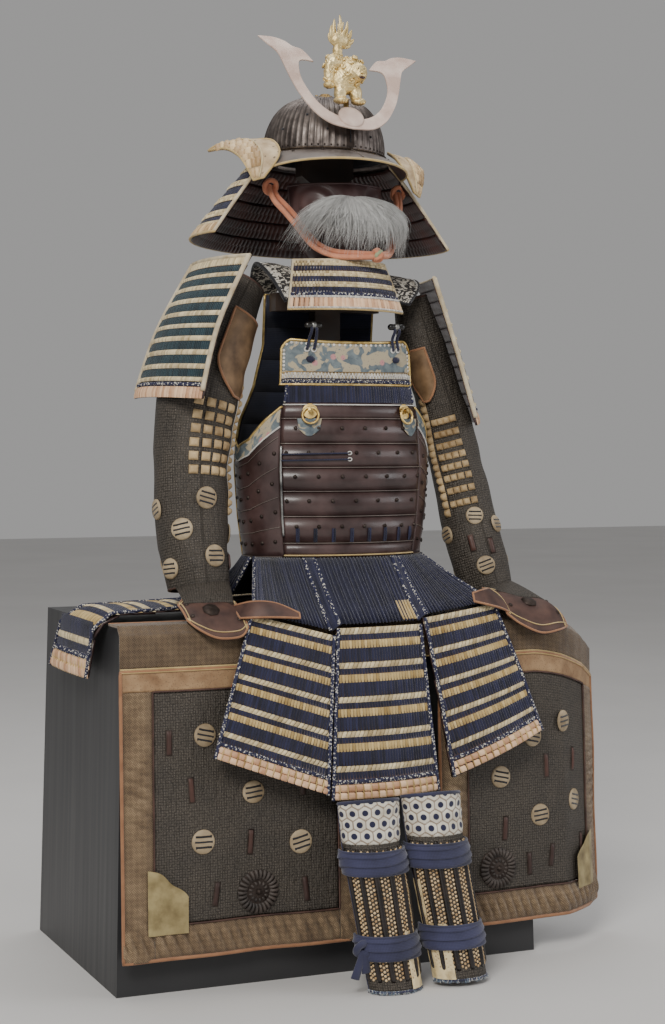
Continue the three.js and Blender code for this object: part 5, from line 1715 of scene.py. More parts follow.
def mesh_ring(ring):
    """Plate of the crest: its outline filled, given its thickness and a soft rim."""
    curve = bpy.data.curves.new("horn_outline", "CURVE")
    curve.dimensions = "2D"
    curve.fill_mode = "BOTH"
    line = curve.splines.new("POLY")
    line.points.add(len(ring) - 1)
    for point, (x, y) in zip(line.points, ring):
        point.co = (x, y, 0, 1)
    line.use_cyclic_u = True
    curve.extrude = HORNS["thick"] / 2 - 0.5
    curve.bevel_depth = 0.5
    curve.bevel_resolution = 2
    holder = bpy.data.objects.new("horn_outline", curve)
    show(holder)
    bpy.context.view_layer.update()
    mesh = bpy.data.meshes.new_from_object(holder.evaluated_get(bpy.context.evaluated_depsgraph_get()))
    bpy.data.objects.remove(holder)
    flat = np.array([v.co for v in mesh.vertices])
    flat[:, 2] += HORNS["thick"] / 2
    placed = horn_place(flat) * MM
    mesh.vertices.foreach_set("co", placed.ravel())
    mesh.materials.clear()
    mesh.materials.append(STUFF["copper"])
    mesh.update()
    plate = bpy.data.objects.new("horn_plate", mesh)
    show(plate)
    pile = Pile()
    disc = lathe([(0.1, 3.4), (12, 3.2), (18, 2.4), (21.4, 1.2), (23, 0), (23, -3), (0.1, -3)][::-1], 48)
    pile.grid(horn_place(disc + (0, 24, HORNS["thick"] * 1.3 + 0.6)), "copper", closed=True)
    finished(joined("horns_plate", [plate, pile.make("horn_disc")]), "copper_metal", "horns")


# ---- lion crest ----------------------------------------------------------------------------------

CREST_FOOT = (-9, -150, 1470)
# Rounded lumps of the lion, standing on its forepaws: centre and radii from the crest's foot.
LION = [
    ((-19, -8, 6), (13, 14, 6)), ((16, -8, 6), (13, 14, 6)), ((-17, -2, 20), (11, 11, 17)),
    ((14, -2, 20), (11, 11, 17)), ((-4, 2, 44), (27, 16, 26)), ((5, -3, 58), (25, 18, 26)),
    ((11, -17, 55), (16, 12, 16)), ((12, -26, 49), (10, 6, 8)), ((-37, 2, 54), (9, 9, 24)),
    ((-39, -2, 32), (10, 11, 7)), ((-24, 3, 74), (18, 13, 14)), ((-19, 4, 92), (9, 8, 14)),
    ((-14, 4, 112), (18, 9, 15)),
]


TAIL_LEAVES = [
    ((-37, 3, 122), -5), ((-32, 2, 136), -6), ((-25, 4, 148), -4), ((-15, 3, 156), 3), ((-8, 2, 144), -3),
    ((1, 4, 146), 4), ((9, 3, 132), 5), ((13, 2, 116), 5), ((7, 3, 104), 4), ((-22, -4, 138), 3),
    ((-6, -5, 132), -3), ((-14, -6, 122), 2),
]


def lump(centre, radii, rings=14, sides=20):
    turns = turns_of(sides)
    lean = np.linspace(0.02, math.pi - 0.02, rings)
    points = np.stack([
        np.sin(lean)[:, None] * np.cos(turns)[None], np.sin(lean)[:, None] * np.sin(turns)[None],
        np.repeat(np.cos(lean)[:, None], sides, 1),
    ], -1)
    return points * radii + centre


def make_lion():
    pile = Pile()
    for centre, radii in LION:
        pile.grid(lump(centre, radii), "gold", closed=True)
    body = pile.make("lion_lumps")
    merge = body.modifiers.new("merge", "REMESH")
    merge.mode = "VOXEL"
    merge.voxel_size = 1.65 * MM
    merge.use_smooth_shade = True
    ease = body.modifiers.new("ease", "SMOOTH")
    ease.iterations = 5
    bpy.context.view_layer.update()
    mesh = bpy.data.meshes.new_from_object(body.evaluated_get(bpy.context.evaluated_depsgraph_get()))
    bpy.data.objects.remove(body)
    points = np.array([v.co for v in mesh.vertices]) / MM
    folds = fur_folds(points)
    normals = np.array([v.normal for v in mesh.vertices])
    points = lion_place(points + normals * folds[:, None])
    mesh.vertices.foreach_set("co", (points * MM).ravel())
    mesh.materials.clear()
    mesh.materials.append(STUFF["crest_gilt"])
    mesh.polygons.foreach_set("use_smooth", np.ones(len(mesh.polygons), bool))
    mesh.update()
    core = bpy.data.objects.new("lion_core", mesh)
    show(core)
    curls = Pile()
    chance = random.Random(11)
    spots = [
        ((5, -3, 58), (25.5, 18.5, 26.5), 34), ((-24, 3, 74), (18.5, 13.5, 14.5), 8),
        ((-37, 2, 54), (9.5, 9.5, 24.5), 6)
    ]
    for centre, radii, count in spots:
        for k in range(count):
            z = 1 - 2 * (k + 0.5) / count
            angle = k * 2.39996
            ring = math.sqrt(1 - z * z)
            direction = np.array((ring * math.cos(angle), ring * math.sin(angle), z))
            if direction[1] > 0.75:
                continue
            place = np.array(centre) + direction * radii
            curls.tube(
                lion_place(curl_line(place, direction, 4.6, chance.choice((-1, 1)))),
                np.linspace(1.9, 0.8, 22), "crest_gilt", 6
            )
    for x in (4, 15):
        curls.grid(lion_place(lump((x, -26, 60), (2.6, 2.4, 2.8), 8, 10)), "crest_gilt", closed=True)
        curls.grid(lion_place(lump((x, -28.2, 60), (1.2, 0.9, 1.2), 6, 8)), "horn", closed=True)
    curls.grid(lion_place(lump((10, -31, 44.5), (6.0, 2.2, 2.6), 8, 14)), "red_lacquer", closed=True)
    curls.grid(lion_place(lump((10, -32.5, 52.5), (4.2, 2.6, 2.4), 8, 12)), "crest_gilt", closed=True)
    for side in (-1, 1):
        curls.tube(
            lion_place(
                curve_through([(9 + side * 9, -8, 70), (9 + side * 14, -6, 78), (9 + side * 18, -4, 80)], 8)
            ),
            np.linspace(3.2, 0.8, 8), "crest_gilt", 8
        )
        for toe in (-5, 0, 5):
            curls.grid(
                lion_place(lump((-2 + side * 18 + toe, -17, 3.6), (2.6, 4, 3.2), 7, 9)), "crest_gilt",
                closed=True
            )
    for tip, sway in TAIL_LEAVES:
        root = np.array((-15 + tip[0] * 0.12, 4, 102))
        line = curve_through([root, (root + tip) / 2 + (sway, 0, 0), tip], 12)
        girth = 0.4 + 4.6 * np.sin(np.linspace(0.35, 1, 12) * math.pi) ** 0.8
        curls.tube(lion_place(line), girth, "crest_gilt", 8, flat=0.55, up=(0, 1, 0))
    curls.tube(
        lion_place(np.array([(-2, 6, -30), (-2, 6, -14), (-2, 3, 0), (-2, 3, 10)], float)), 4.5, "bronze",
        10
    )
    finished(joined("lion_crest_gilt", [core, curls.make("lion_curls")]), "gold_metal", "lion_crest")


def fur_folds(points):
    """Height of the small locks over the lion's coat."""
    x, y, z = points.T
    return 0.55 * np.sin(
        x * 0.9 + 1.5 * np.sin(z * 0.35)
    ) * np.sin(z * 0.55 + 1.2 * np.sin(x * 0.3)) + 0.25 * np.sin(z * 1.7 + y)


def curl_line(place, direction, size, hand):
    across = np.cross(direction, (0.2, 0.3, 0.9))
    across /= np.linalg.norm(across)
    up = np.cross(direction, across)
    turns = np.linspace(0.2, 1.75 * 2 * math.pi, 22)
    grow = size * (1 - turns / (2.3 * 2 * math.pi))
    return place + direction * 0.6 + (
        across * (hand * np.cos(turns) * grow)[:, None] + up * (np.sin(turns) * grow)[:, None]
    )


def lion_place(points):
    points = np.asarray(points, float)
    turn = 0.11
    x, y = points[..., 0], points[..., 1]
    return np.stack(
        [x * math.cos(turn) - y * math.sin(turn), x * math.sin(turn) + y * math.cos(turn), points[..., 2]],
        -1
    ) + CREST_FOOT


make_bowl()
make_visor()
make_neck_guard()
for back_side, back_rows in TURN_BACKS.items():
    make_turn_back(back_side, back_rows)
make_horns()
make_lion()

# ---- mask, moustache, throat guard and helmet cord -------------------------------------------------


def mask_surface(s, t, out=0):
    s, t, out = full(s, t, out)
    degrees = 176 * (s - 0.5)
    nose = 12 * np.exp(-((degrees / 16) ** 2)) * np.exp(-(((t - 0.12) / 0.22) ** 2))
    return mask_point(degrees, 1338 + (1212 - 1338) * t, out + nose)


def mask_relief(s, t):
    """Calm cheeks with soft folds that run round them."""
    degrees = np.abs(176 * (s - 0.5))
    cheek = np.hypot((degrees - 44) / 24, (t - 0.3) / 0.24)
    folds = np.cos(cheek * 8.5) * np.exp(-((cheek - 1.1) ** 2) * 2.2)
    wings = 3 * np.exp(-(((degrees - 13) / 5) ** 2) - ((t - 0.24) / 0.07) ** 2)
    return 4 * np.exp(-(cheek**2) * 1.4) + 1.5 * folds + wings


def make_mask():
    pile = Pile()
    walled(
        mask_surface, shares(72), shares(46), 3, pile, "mask_lacquer", shape=mask_relief,
        lining="red_lacquer"
    )
    pile.tube(edge_line(mask_surface, "top", 0.6, 90), 1.8, "mask_lacquer", 8)
    for edge in ("left", "right"):
        pile.tube(edge_line(mask_surface, edge, 0.4, 40), 1.6, "mask_lacquer", 8)
    pegs = [seats(mask_surface, np.array([0.12, 0.88]), 0.5, 3)]
    mask = joined(
        "face_mask_lacquer",
        [pile.make("face_mask"), repeated("mask_pegs", pegs, RIVET, "bronze", (3, 3, 5))]
    )
    finished(mask, "brown_lacquer", "face_mask")


def hair_fan(s, r, out=0):
    """Where the hair runs: s is its place along the hem, r its share of the way from the nose."""
    s, r, out = full(s, r, out)
    side = 2 * s - 1
    degrees = 12 * r + 76 * side * (0.1 + 0.9 * np.clip(r, 0, 1.2) ** 0.85)
    foot = 1226 + 15 * np.abs(side) ** 2.2
    z = 1317 + (foot - 1317) * np.clip(r, 0, 1.3) ** (1.1 + 0.5 * np.abs(side))
    clear = 5 + 42 * np.sin(
        np.minimum(1, r * 1.2) * math.pi / 2
    ) + 9 * np.sin(math.pi * np.clip(r, 0, 1)) * (1 - side**2)
    placed = mask_point(degrees, np.maximum(z, 1258), out + clear)
    placed[..., 2] = z
    return placed


def strands(pile, paths, thick, stuff, shade):
    """Fine three-sided hairs: paths is (hairs, points, 3), each one thinning to its tip."""
    hairs, count = paths.shape[:2]
    ahead = unit(np.gradient(paths, axis=1))
    side = unit(np.cross(ahead, (0.3, 0.2, 0.9)))
    other = np.cross(ahead, side)
    turns = np.arange(3) * 2 * math.pi / 3
    ring = side[:, :, None] * np.cos(turns)[:, None] + other[:, :, None] * np.sin(turns)[:, None]
    radius = np.asarray(thick)[:, None] * np.linspace(1, 0.12, count)[None] ** 0.8
    points = paths[:, :, None] + ring * radius[:, :, None, None]
    faces = grid_faces(count, 3, closed=True)
    all_faces = (faces[None] + (np.arange(hairs) * count * 3)[:, None, None]).reshape(-1, 4)
    pile.add(points, all_faces, stuff, shade=np.repeat(shade, count * 3))


def make_moustache():
    chance = np.random.default_rng(5)
    pile = Pile()
    s, r = np.meshgrid(np.linspace(0.04, 0.96, 40), np.linspace(0.04, 0.76, 14))
    lift = 2.4 * np.sin(s * 47 + 3 * r) * r
    pile.sheet(hair_fan(s, r, lift - 9), hair_fan(s, r, lift - 14), "hair")
    hairs, count = 3600, 6
    u = shares(count)[None]
    layer = chance.uniform(0, 1, hairs)[:, None] ** 0.55
    lock = chance.integers(0, 34, hairs)[:, None] / 33
    ragged = 1 + 0.12 * np.sin(lock * 97) + 0.06 * np.sin(lock * 41)
    start = chance.uniform(0.0, 0.5, hairs)[:, None] ** 1.3
    end = np.minimum(1.14, (start + chance.uniform(0.35, 0.75, hairs)[:, None]) * ragged)
    r = start + (end - start) * u
    spread = chance.normal(0, 0.016, hairs)[:, None] + chance.normal(0, 0.045, hairs)[:, None] * u**1.3
    s = np.clip(lock + spread, -0.05, 1.05)
    stray = chance.normal(0, 1, (hairs, 3))[:, None, :]
    out = -13 * (1 - layer) + 3.5 * np.sin(lock * 61) * u + 4 * np.sin(math.pi * u) * layer
    paths = hair_fan(s, r, out)
    paths[..., 2] -= 3 * u**2 * np.clip(end, 0.5, 1)
    paths += stray * np.array((4.0, 2.6, 3.4)) * (u**1.4)[..., None]
    # Hairs that lie deeper, nearer the mask, get a darker grey: painted shade under the outer hairs, with a
    # random tone per lock and per hair added to it.
    tone = np.clip(
        0.24 + 0.58 * layer[:, 0] + 0.2 * np.sin(lock[:, 0] * 83) + chance.normal(0, 0.14, hairs), 0, 1
    )
    strands(pile, paths, chance.uniform(0.38, 0.7, hairs), "hair", tone)
    finished(pile.make("moustache_hair"), "moustache_hair", "moustache")


THROAT = [
    ((-100, -118, 1202), (74, -118, 1200), 44), ((-110, -132, 1158), (88, -130, 1156), 50),
    ((-118, -140, 1116), (100, -138, 1114), 54)
]


def make_throat_guard():
    surface = row_surface(THROAT)
    pile = Pile()
    lame_shell(pile, surface, shares(5), 4, 2.0, "brown_lacquer", 40, lining="red_lacquer")
    lacing = Lacing(surface)
    for k in range(3):
        top = 0.005 + 0.215 * k
        lacing.row("lozenge", top, top + 0.055, 1.7)
        lacing.row("lozenge", top + 0.05, top + 0.105, 1.7, shift=0.5)
        lacing.row("navy", top + 0.1, top + 0.22, 0.8)
    lacing.row("knots", 0.65, 0.73, 1.6)
    lacing.row("slats", 0.725, 0.975, 1.6)
    lacing.row("knot_white", 0.72, 0.765, 3.0)
    lacing.row("knot_white", 0.95, 0.985, 2.6)
    pile.tube(edge_line(surface, "top", -0.6, 80), 2.6, "cream_leather", 8)
    for edge in ("left", "right"):
        pile.tube(edge_line(surface, edge, 0.6, 50, 0.006), 2.6, "cream_leather", 8)
    pile.tube(edge_line(surface, "bottom", 0.6, 80), 1.8, "gold_cord", 8)
    guard = joined("throat_guard_laced", [pile.make("throat_guard"), *lacing.parts("throat")])
    finished(guard, "navy_lacing", "throat_guard")


HELMET_CORD = [
    (-118, -62, 1336), (-114, -74, 1314), (-98, -90, 1290), (-84, -102, 1268), (-72, -114, 1246),
    (-58, -130, 1226), (-36, -154, 1213), (0, -178, 1210), (32, -180, 1210), (60, -160, 1213),
    (80, -132, 1226), (92, -116, 1246), (102, -102, 1268), (114, -88, 1290), (122, -74, 1314),
    (124, -62, 1336),
]


def make_helmet_cord():
    """A pair of cords side by side from the loops at the turn-backs to the knot under the chin."""
    pile = Pile()
    line = curve_through(HELMET_CORD, 150)
    ahead = unit(np.gradient(line, axis=0))
    side = unit(np.cross(ahead, (0.25, -0.9, 0.1)))
    run = np.linspace(0, 1, len(line))
    apart = 4.6 + 3.5 * np.sin(np.clip(run / 0.4, 0, 1) * math.pi) - 1.2 * np.sin(run * math.pi)
    for hand in (-1, 1):
        wander = 1.4 * np.sin(run * 17 + hand) * np.sin(run * math.pi)
        strand = line + side * (hand * apart + wander)[:, None] + np.array((0, -1.5, 0)) * (hand > 0)
        pile.tube(strand, 4.7, "orange", 10, shade=0.45 + 0.12 * hand)
    turns = turns_of(60)
    knot = np.array((32, -182, 1210), float)
    for tilt, stuff, size in ((0.0, "orange", 9.5), (1.1, "sage", 8.0), (-1.0, "orange", 9.0)):
        loop = np.stack([5.0 * np.sin(2 * turns), size * np.cos(turns) * 0.7, size * np.sin(turns)], -1)
        spin = np.array(Euler((tilt, 0, 0)).to_matrix())
        pile.tube(knot + loop @ spin.T, 3.6, stuff, 8, closed=True)
    for end, lean in ((HELMET_CORD[0], -1), (HELMET_CORD[-1], 1)):
        loop = np.stack(
            [
                end[0] + lean * 2 + 11 * np.cos(turns), np.full(60, end[1] - 4.0) - 4 * np.sin(turns),
                end[2] - 2 + 11 * np.sin(turns)
            ],
            -1
        )
        pile.tube(loop, 4.4, "orange", 10, closed=True)
    finished(pile.make("helmet_cord_pair"), "orange_cord", "helmet_cord")


make_mask()
make_moustache()
make_throat_guard()
make_helmet_cord()

# ---- sleeves, flaps and hand plates ----------------------------------------------------------------

SLEEVES = {
    "right": [
        (-160, -44, 1166, 38), (-196, -52, 1110, 52), (-232, -58, 1030, 62),
        (-256, -62, 952, 68), (-268, -68, 870, 66),
        (-271, -78, 789, 63), (-272, -92, 712, 59), (-270, -104, 672, 55), (-268, -110, 642, 52),
    ],
    "left": [
        (160, -44, 1150, 30), (182, -46, 1060, 44), (213, -48, 980, 43), (236, -52, 895, 47),
        (252, -62, 819, 50), (265, -80, 730, 50), (276, -98, 665, 49), (284, -108, 622, 45),
    ],
}
FLAPS = {
    "right": {"from": 78, "to": -6, "tip": 58, "top": 0.12, "bottom": 0.34},
    "left": {"from": -74, "to": -20, "tip": -62, "top": 0.14, "bottom": 0.3},
}


def sleeve_round(side):
    rows = np.array(SLEEVES[side], float)
    last = len(rows) - 1
    around = np.array([rows[min(k + 1, last), :3] - rows[max(k - 1, 0), :3] for k in range(last + 1)])
    table = np.concatenate([rows, unit(around)], 1)

    def surface(degrees, t, out=0):
        degrees, t, out = full(degrees, t, out)
        row = rows_at(table, t)
        down = unit(row[..., 4:])
        across = np.zeros_like(down)
        across[..., 0] = 1
        across = unit(across - down * down[..., :1])
        front = unit(np.cross(down, across))
        radius = (row[..., 3] + out)[..., None]
        angle = np.radians(degrees)[..., None]
        return row[..., :3] + across * radius * np.sin(angle) + front * radius * np.cos(angle)

    return surface


def sleeve_folds(side):
    """Slack of the cloth: soft slanting creases at the elbow and fuller folds above the wrist."""
    hand = 1 if side == "right" else -1

    def shape(s, t):
        angle = s * 2 * math.pi
        deep = 2.2 * np.sin(
            angle * 2 + hand * t * 17 + 0.8 * np.sin(t * 9)
        ) * np.exp(-(((t - 0.5) / 0.24) ** 2))
        low = 2.4 * np.sin(angle * 5 + 3 * np.sin(t * 5)) * np.clip((t - 0.62) * 3, 0, 1) * (
            1 - 0.5 * np.clip((t - 0.9) * 10, 0, 1)
        )
        rings = 1.4 * np.sin(t * 52 + 1.6 * np.sin(angle + 0.6)) * (
            0.45 + 0.55 * np.sin(angle * 1 + hand * 0.8)
        ) * np.exp(-(((t - 0.45) / 0.33) ** 2))
        return deep + low + rings

    return shape


def sewn(cloth, trim, slot, node):
    """Cloth that stands for a solid, with what is sewn on it."""
    finished(cloth, slot, node)
    finished(trim, slot)


def slotted_disc(radius):
    """Low round disc with a soft rim."""
    profile = [(1.0, -1.2), (0.98, 0.8), (0.9, 1.9), (0.6, 2.6), (0.3, 2.9), (0.02, 3.0)]
    return turned("disc", [(r * radius, h) for r, h in profile], 28)


DISC = slotted_disc(1.0)
PILLOW = patch(
    "pillow", crowned(8, 8, lambda u, v: np.clip(1 - u**4, 0, 1) ** 0.5 * np.clip(1 - v**4, 0, 1) ** 0.5)
)
OBLONG = patch(
    "oblong", crowned(10, 10, lambda u, v: np.clip(1 - u**2, 0, 1) ** 0.5 * np.clip(1 - v**4, 0, 1) ** 0.5)
)


def set_discs(name, surface, spots, turn=0.0):
    """Leather discs with three dark slots across; spots are (share across, share down, radius)."""
    discs, slots, sizes, widths = [], [], [], []
    for k, (s, t, radius) in enumerate(spots):
        lean = turn + (-12, 8, 0, 14, -6)[k % 5]
        place, angle = seats(surface, np.array([s]), t, 0.6, turn=lean)
        matrix = Euler(angle[0]).to_matrix()
        discs.append((place, angle))
        sizes.append((radius, radius, 1.0))
        for shift in (-0.42, 0.0, 0.42):
            moved = place[0] + np.array(matrix @ Vector((0, shift * radius, 2.2)))
            slots.append((moved[None], angle))
            widths.append((1.55 * radius * math.sqrt(1 - shift**2), radius * 0.22, 1.4))
    return [
        repeated(f"{name}_discs", discs, DISC, "disc_leather", sizes),
        repeated(f"{name}_slots", slots, LOZENGE, "black_cord", widths),
    ]


def set_oblongs(name, surface, spots):
    """Upright oblong plates: spots are (s, t, half width, half height, turn)."""
    places = [seats(surface, np.array([s]), t, 0.4, turn=turn) for s, t, _, _, turn in spots]
    sizes = [(2 * wide, 2 * tall, 3.2) for _, _, wide, tall, _ in spots]
    rims = [(2 * wide + 2.4, 2 * tall + 2.4, 1.6) for _, _, wide, tall, _ in spots]
    return [
        repeated(f"{name}_plates", places, OBLONG, "red_plates", sizes),
        repeated(f"{name}_plate_rims", places, OBLONG, "iron", rims),
    ]


def plate_rows(surface, s, t, size, out=0.8):
    """Rows of small gilt plates, pinned at their corners."""
    grid_s, grid_t = np.meshgrid(s, t)
    places = [seats(surface, grid_s.ravel(), grid_t.ravel(), out)]
    return places, (*size, 5.0)


# Where the sleeves carry their small gilt plates, discs and oblong plates: shares round and down.
SLEEVE_PLATES = {
    "right": {
        "across": (-0.042, 0.008, 0.056, 0.104), "down": np.linspace(0.375, 0.555, 6), "size": (16, 15)
    },
    "left": {
        "across": (-0.145, -0.105, -0.065, -0.022), "down": np.linspace(0.37, 0.64, 8), "size": (12, 12)
    },
}
SLEEVE_DISCS = {
    "right": [
        (0.017, 0.63, 19), (0.9, 0.715, 19), (0.05, 0.835, 19), (0.76, 0.652, 18), (0.8, 0.868, 18),
        (0.24, 0.72, 18), (0.5, 0.66, 18), (0.4, 0.84, 18), (0.63, 0.83, 18)
    ],
    "left": [
        (0.961, 0.685, 16), (0.95, 0.875, 17), (0.1, 0.72, 16), (0.24, 0.86, 16), (0.4, 0.7, 16),
        (0.6, 0.86, 16), (0.75, 0.72, 16)
    ],
}
SLEEVE_OBLONGS = {
    "right": [(0.16, 0.86, 5, 14, 0), (0.33, 0.66, 5, 14, 0), (0.55, 0.5, 5, 14, 0)],
    "left": [(0.906, 0.775, 5, 15, 0), (0.02, 0.8, 5, 14, 0), (0.3, 0.74, 5, 14, 0), (0.5, 0.78, 5, 14, 0)],
}


def make_cuff(side, folded, pile):
    """Short tongue of mail cloth from the sleeve's end down to the hand plate."""
    plate = row_surface(HANDS[side]["plate"], HAND_UP, smooth=True)
    run, down = np.meshgrid(shares(30), shares(10))
    top = folded((-70 + 140 * run) / 360, 0.985 + 0 * down, -1.0)
    foot = plate(np.full(run.shape, 0.3), 0.14 + 0.72 * run, 2.2)
    swell = np.sin(math.pi * down)[..., None] * np.array((0, -3.0, 1.0))
    tongue = top * (1 - down[..., None]) + foot * down[..., None] + swell
    pile.sheet(tongue, tongue + (0, 1.6, -1.0), "mail")


def make_sleeve(side):
    around = sleeve_round(side)
    surface = lambda s, t, out=0: around(np.asarray(s) * 360, t, out)
    shape = sleeve_folds(side)
    folded = lambda s, t, out=0: surface(s, t, shape(np.mod(s, 1), np.asarray(t)) + out)
    cloth, pile = Pile(), Pile()
    outer = walled(
        surface, shares(67), shares(78), 3, cloth, "mail", shape=shape, closed=True, lining="lining"
    )
    for t in (0.004, 0.996):
        pile.tube(
            folded(np.linspace(0, 1, 70, endpoint=False), np.full(70, t), -1.2), 2.0, "brown_leather", 8,
            closed=True
        )
    make_cuff(side, folded, pile)
    plates = SLEEVE_PLATES[side]
    places, size = plate_rows(folded, plates["across"], plates["down"], plates["size"])
    blob_s = 0.19 if side == "right" else 0.8
    blobs = [seats(folded, np.full(16, blob_s), np.linspace(0.3, 0.66, 16), 0.8)]
    parts = [
        pile.make(f"sleeve_{side}_piping"),
        repeated(f"sleeve_{side}_gilt", places, PILLOW, "gilt_pads", size),
        repeated(f"sleeve_{side}_blobs", blobs, LOZENGE, "gilt_pads", (14, 14, 7)),
        *set_discs(f"sleeve_{side}", folded, SLEEVE_DISCS[side]),
        *set_oblongs(f"sleeve_{side}", folded, SLEEVE_OBLONGS[side]),
    ]
    sewn(
        cloth.make(f"sleeve_{side}_mail"), joined(f"sleeve_{side}_plates", parts), "mail_cloth",
        f"sleeve_{side}",
    )


def make_flap(side):
    around = sleeve_round(side)
    flap = FLAPS[side]

    def surface(s, t, out=0):
        s, t, out = full(s, t, out)
        narrow = np.maximum(0, t - 0.55) / 0.45
        inner = flap["from"] + (flap["tip"] - flap["from"]) * narrow**2
        tip = flap["tip"] + (flap["to"] - flap["tip"]) * 0.3
        outer = flap["to"] + (tip - flap["to"]) * narrow**2
        low, high = (outer, inner) if side == "right" else (inner, outer)
        return around(low + (high - low) * s, flap["top"] + (flap["bottom"] - flap["top"]) * t, out + 5)

    cloth, pile = Pile(), Pile()
    shape = lambda s, t: 1.1 * np.sin(s * 9 + 2 * t) * np.sin(math.pi * t) + 0.7 * np.sin(t * 13 + s * 3)
    outer = walled(
        surface, shares(26), shares(40), 2.6, cloth, "flap_leather", shape=shape, lining="lining"
    )
    pile.tube(
        all_round(lambda s, t, out=0: surface(s, t, shape(s, t) + out), -0.8, 20, 36, 0.004), 2.3, "rust",
        8, closed=True
    )
    sewn(
        cloth.make(f"sleeve_flap_{side}_brocade"), pile.make(f"sleeve_flap_{side}_piping"), "brocade",
        f"sleeve_flap_{side}",
    )


HAND_UP = (0, -0.5, 0.86)
HANDS = {
    "right": {
        "plate": [
            ((-334, -196, 622), (-332, -238, 600), 2), ((-318, -178, 630), (-318, -260, 586), 8), (
                (-288, -176, 634), (-290, -270, 573), 10
            ),
            ((-254, -178, 634), (-252, -270, 574), 9), ((-236, -196, 624), (-236, -262, 588), 5),
        ],
        "lobe": [
            ((-246, -210, 618), (-246, -250, 602), 1), ((-224, -246, 628), (-224, -268, 604), 2),
            ((-190, -264, 626), (-190, -279, 604), 2), ((-154, -281, 610), (-154, -285, 602), 0),
        ],
    },
    "left": {
        "plate": [
            ((238, -178, 632), (238, -270, 594), 10), ((262, -166, 626), (262, -276, 576), 18),
            ((300, -160, 612), (300, -280, 560), 24), ((338, -166, 603), (338, -274, 563), 26),
            ((366, -196, 593), (366, -252, 566), 9),
        ],
        "lobe": [
            ((172, -268, 632), (172, -274, 618), 0), ((204, -252, 636), (204, -276, 610), 2),
            ((226, -226, 634), (226, -272, 604), 4), ((250, -208, 622), (250, -264, 594), 6),
        ],
    },
}


def make_hand_plate(side):
    pile = Pile()
    for part, thick in (("plate", 5), ("lobe", 4)):
        across = row_surface(HANDS[side][part], HAND_UP, smooth=True)
        surface = lambda s, t, out=0, across=across: across(t, s, out)
        dome = (
            lambda s, t: 2.2 * np.sin(math.pi * s) * np.sin(math.pi * t)
        ) if part == "plate" else (lambda s, t: 0.8 * np.sin(math.pi * t) * np.sin(math.pi * s))
        walled(surface, shares(32), shares(22), thick, pile, "brown_leather", shape=dome, lining="indigo")
        pile.tube(all_round(surface, -1.2, 36, 26, 0.004), 1.9, "rust", 8, closed=True)
        if part == "plate":
            raised = lambda s, t, out=0, surface=surface, dome=dome: surface(s, t, dome(s, t) + out)
            pile.tube(all_round(raised, 0.4, 36, 26, 0.09), 1.0, "gold_cord", 6, closed=True)
            bosses = [seats(raised, np.array([0.5]), 0.5, 0.4)]
            studs = [
                seats(raised, np.array([0.18, 0.82, 0.18, 0.82]), np.array([0.3, 0.3, 0.72, 0.72]), 0.4)
            ]
    parts = [
        pile.make(f"hand_plate_{side}"), repeated(f"hand_{side}_boss", bosses, RIVET, "iron", (15, 15, 6)),
        repeated(f"hand_{side}_studs", studs, RIVET, "iron", (4, 4, 2.4)),
    ]
    finished(joined(f"hand_plate_{side}_leather", parts), "brown_leather", f"hand_plate_{side}")


for arm in ("right", "left"):
    make_hand_plate(arm)
    make_sleeve(arm)
    make_flap(arm)

# ---- thigh apron -----------------------------------------------------------------------------------

APRON = {"top": 578, "bottom": 60, "band": 522, "band_height": 34, "border": 54}
APRON_START = np.array((-450.0, -247.0))
APRON_RUN = [(560, 0), (96, 1), (80, 3), (80, 10), (72, 30), (62, 44)]
APRON_LENGTH = sum(length for length, _ in APRON_RUN)
DROOP_FROM, DROOP = 752, 66
HALVES = {"right": (0, 430), "left": (566, APRON_LENGTH)}


def apron_path(length):
    """Place and inward direction at a length along the apron's top."""
    ends = np.concatenate([[0], np.cumsum([run for run, _ in APRON_RUN])])
    turns = np.radians([turn for _, turn in APRON_RUN])
    corners = np.concatenate(
        [
            [APRON_START],
            APRON_START + np.cumsum(
                [(run * math.cos(a), run * math.sin(a)) for (run, _), a in zip(APRON_RUN, turns)], axis=0
            )
        ]
    )
    place = np.stack([np.interp(length, ends, corners[:, 0]), np.interp(length, ends, corners[:, 1])], -1)
    middles = (ends[:-1] + ends[1:]) / 2
    turn = np.interp(length, middles, turns)
    return place, np.stack([-np.sin(turn), np.cos(turn)], -1)


def apron(length, height, out=0):
    length, height, out = full(length, height, out)
    place, inwards = apron_path(length)
    hem = (APRON["top"] - height) / (APRON["top"] - APRON["bottom"])
    past = np.maximum(0, length - DROOP_FROM) / (APRON_LENGTH - DROOP_FROM)
    points = np.zeros((*length.shape, 3))
    points[..., :2] = place - inwards * (out + 16 * hem)[..., None]
    points[..., 2] = height - DROOP * past**1.5 * (1 - hem)
    return points


def apron_folds(length, height):
    """Slack of the hanging cloth: a few soft uneven ridges that deepen towards the hem."""
    drop = np.clip((APRON["band"] - height) / 460, 0, 1)
    wide = 3.0 * np.sin(
        length / 61 + 1.1 * np.sin(height / 160)
    ) + 2.0 * np.sin(length / 27 + height / 190 + 1.7)
    sag = 2.0 * np.sin(height / 38 + 2.2 * np.sin(length / 90)) * np.sin(length / 70) ** 2
    return (wide * (0.25 + 0.75 * drop) + sag * 0.6) * np.clip(drop * 4, 0, 1)


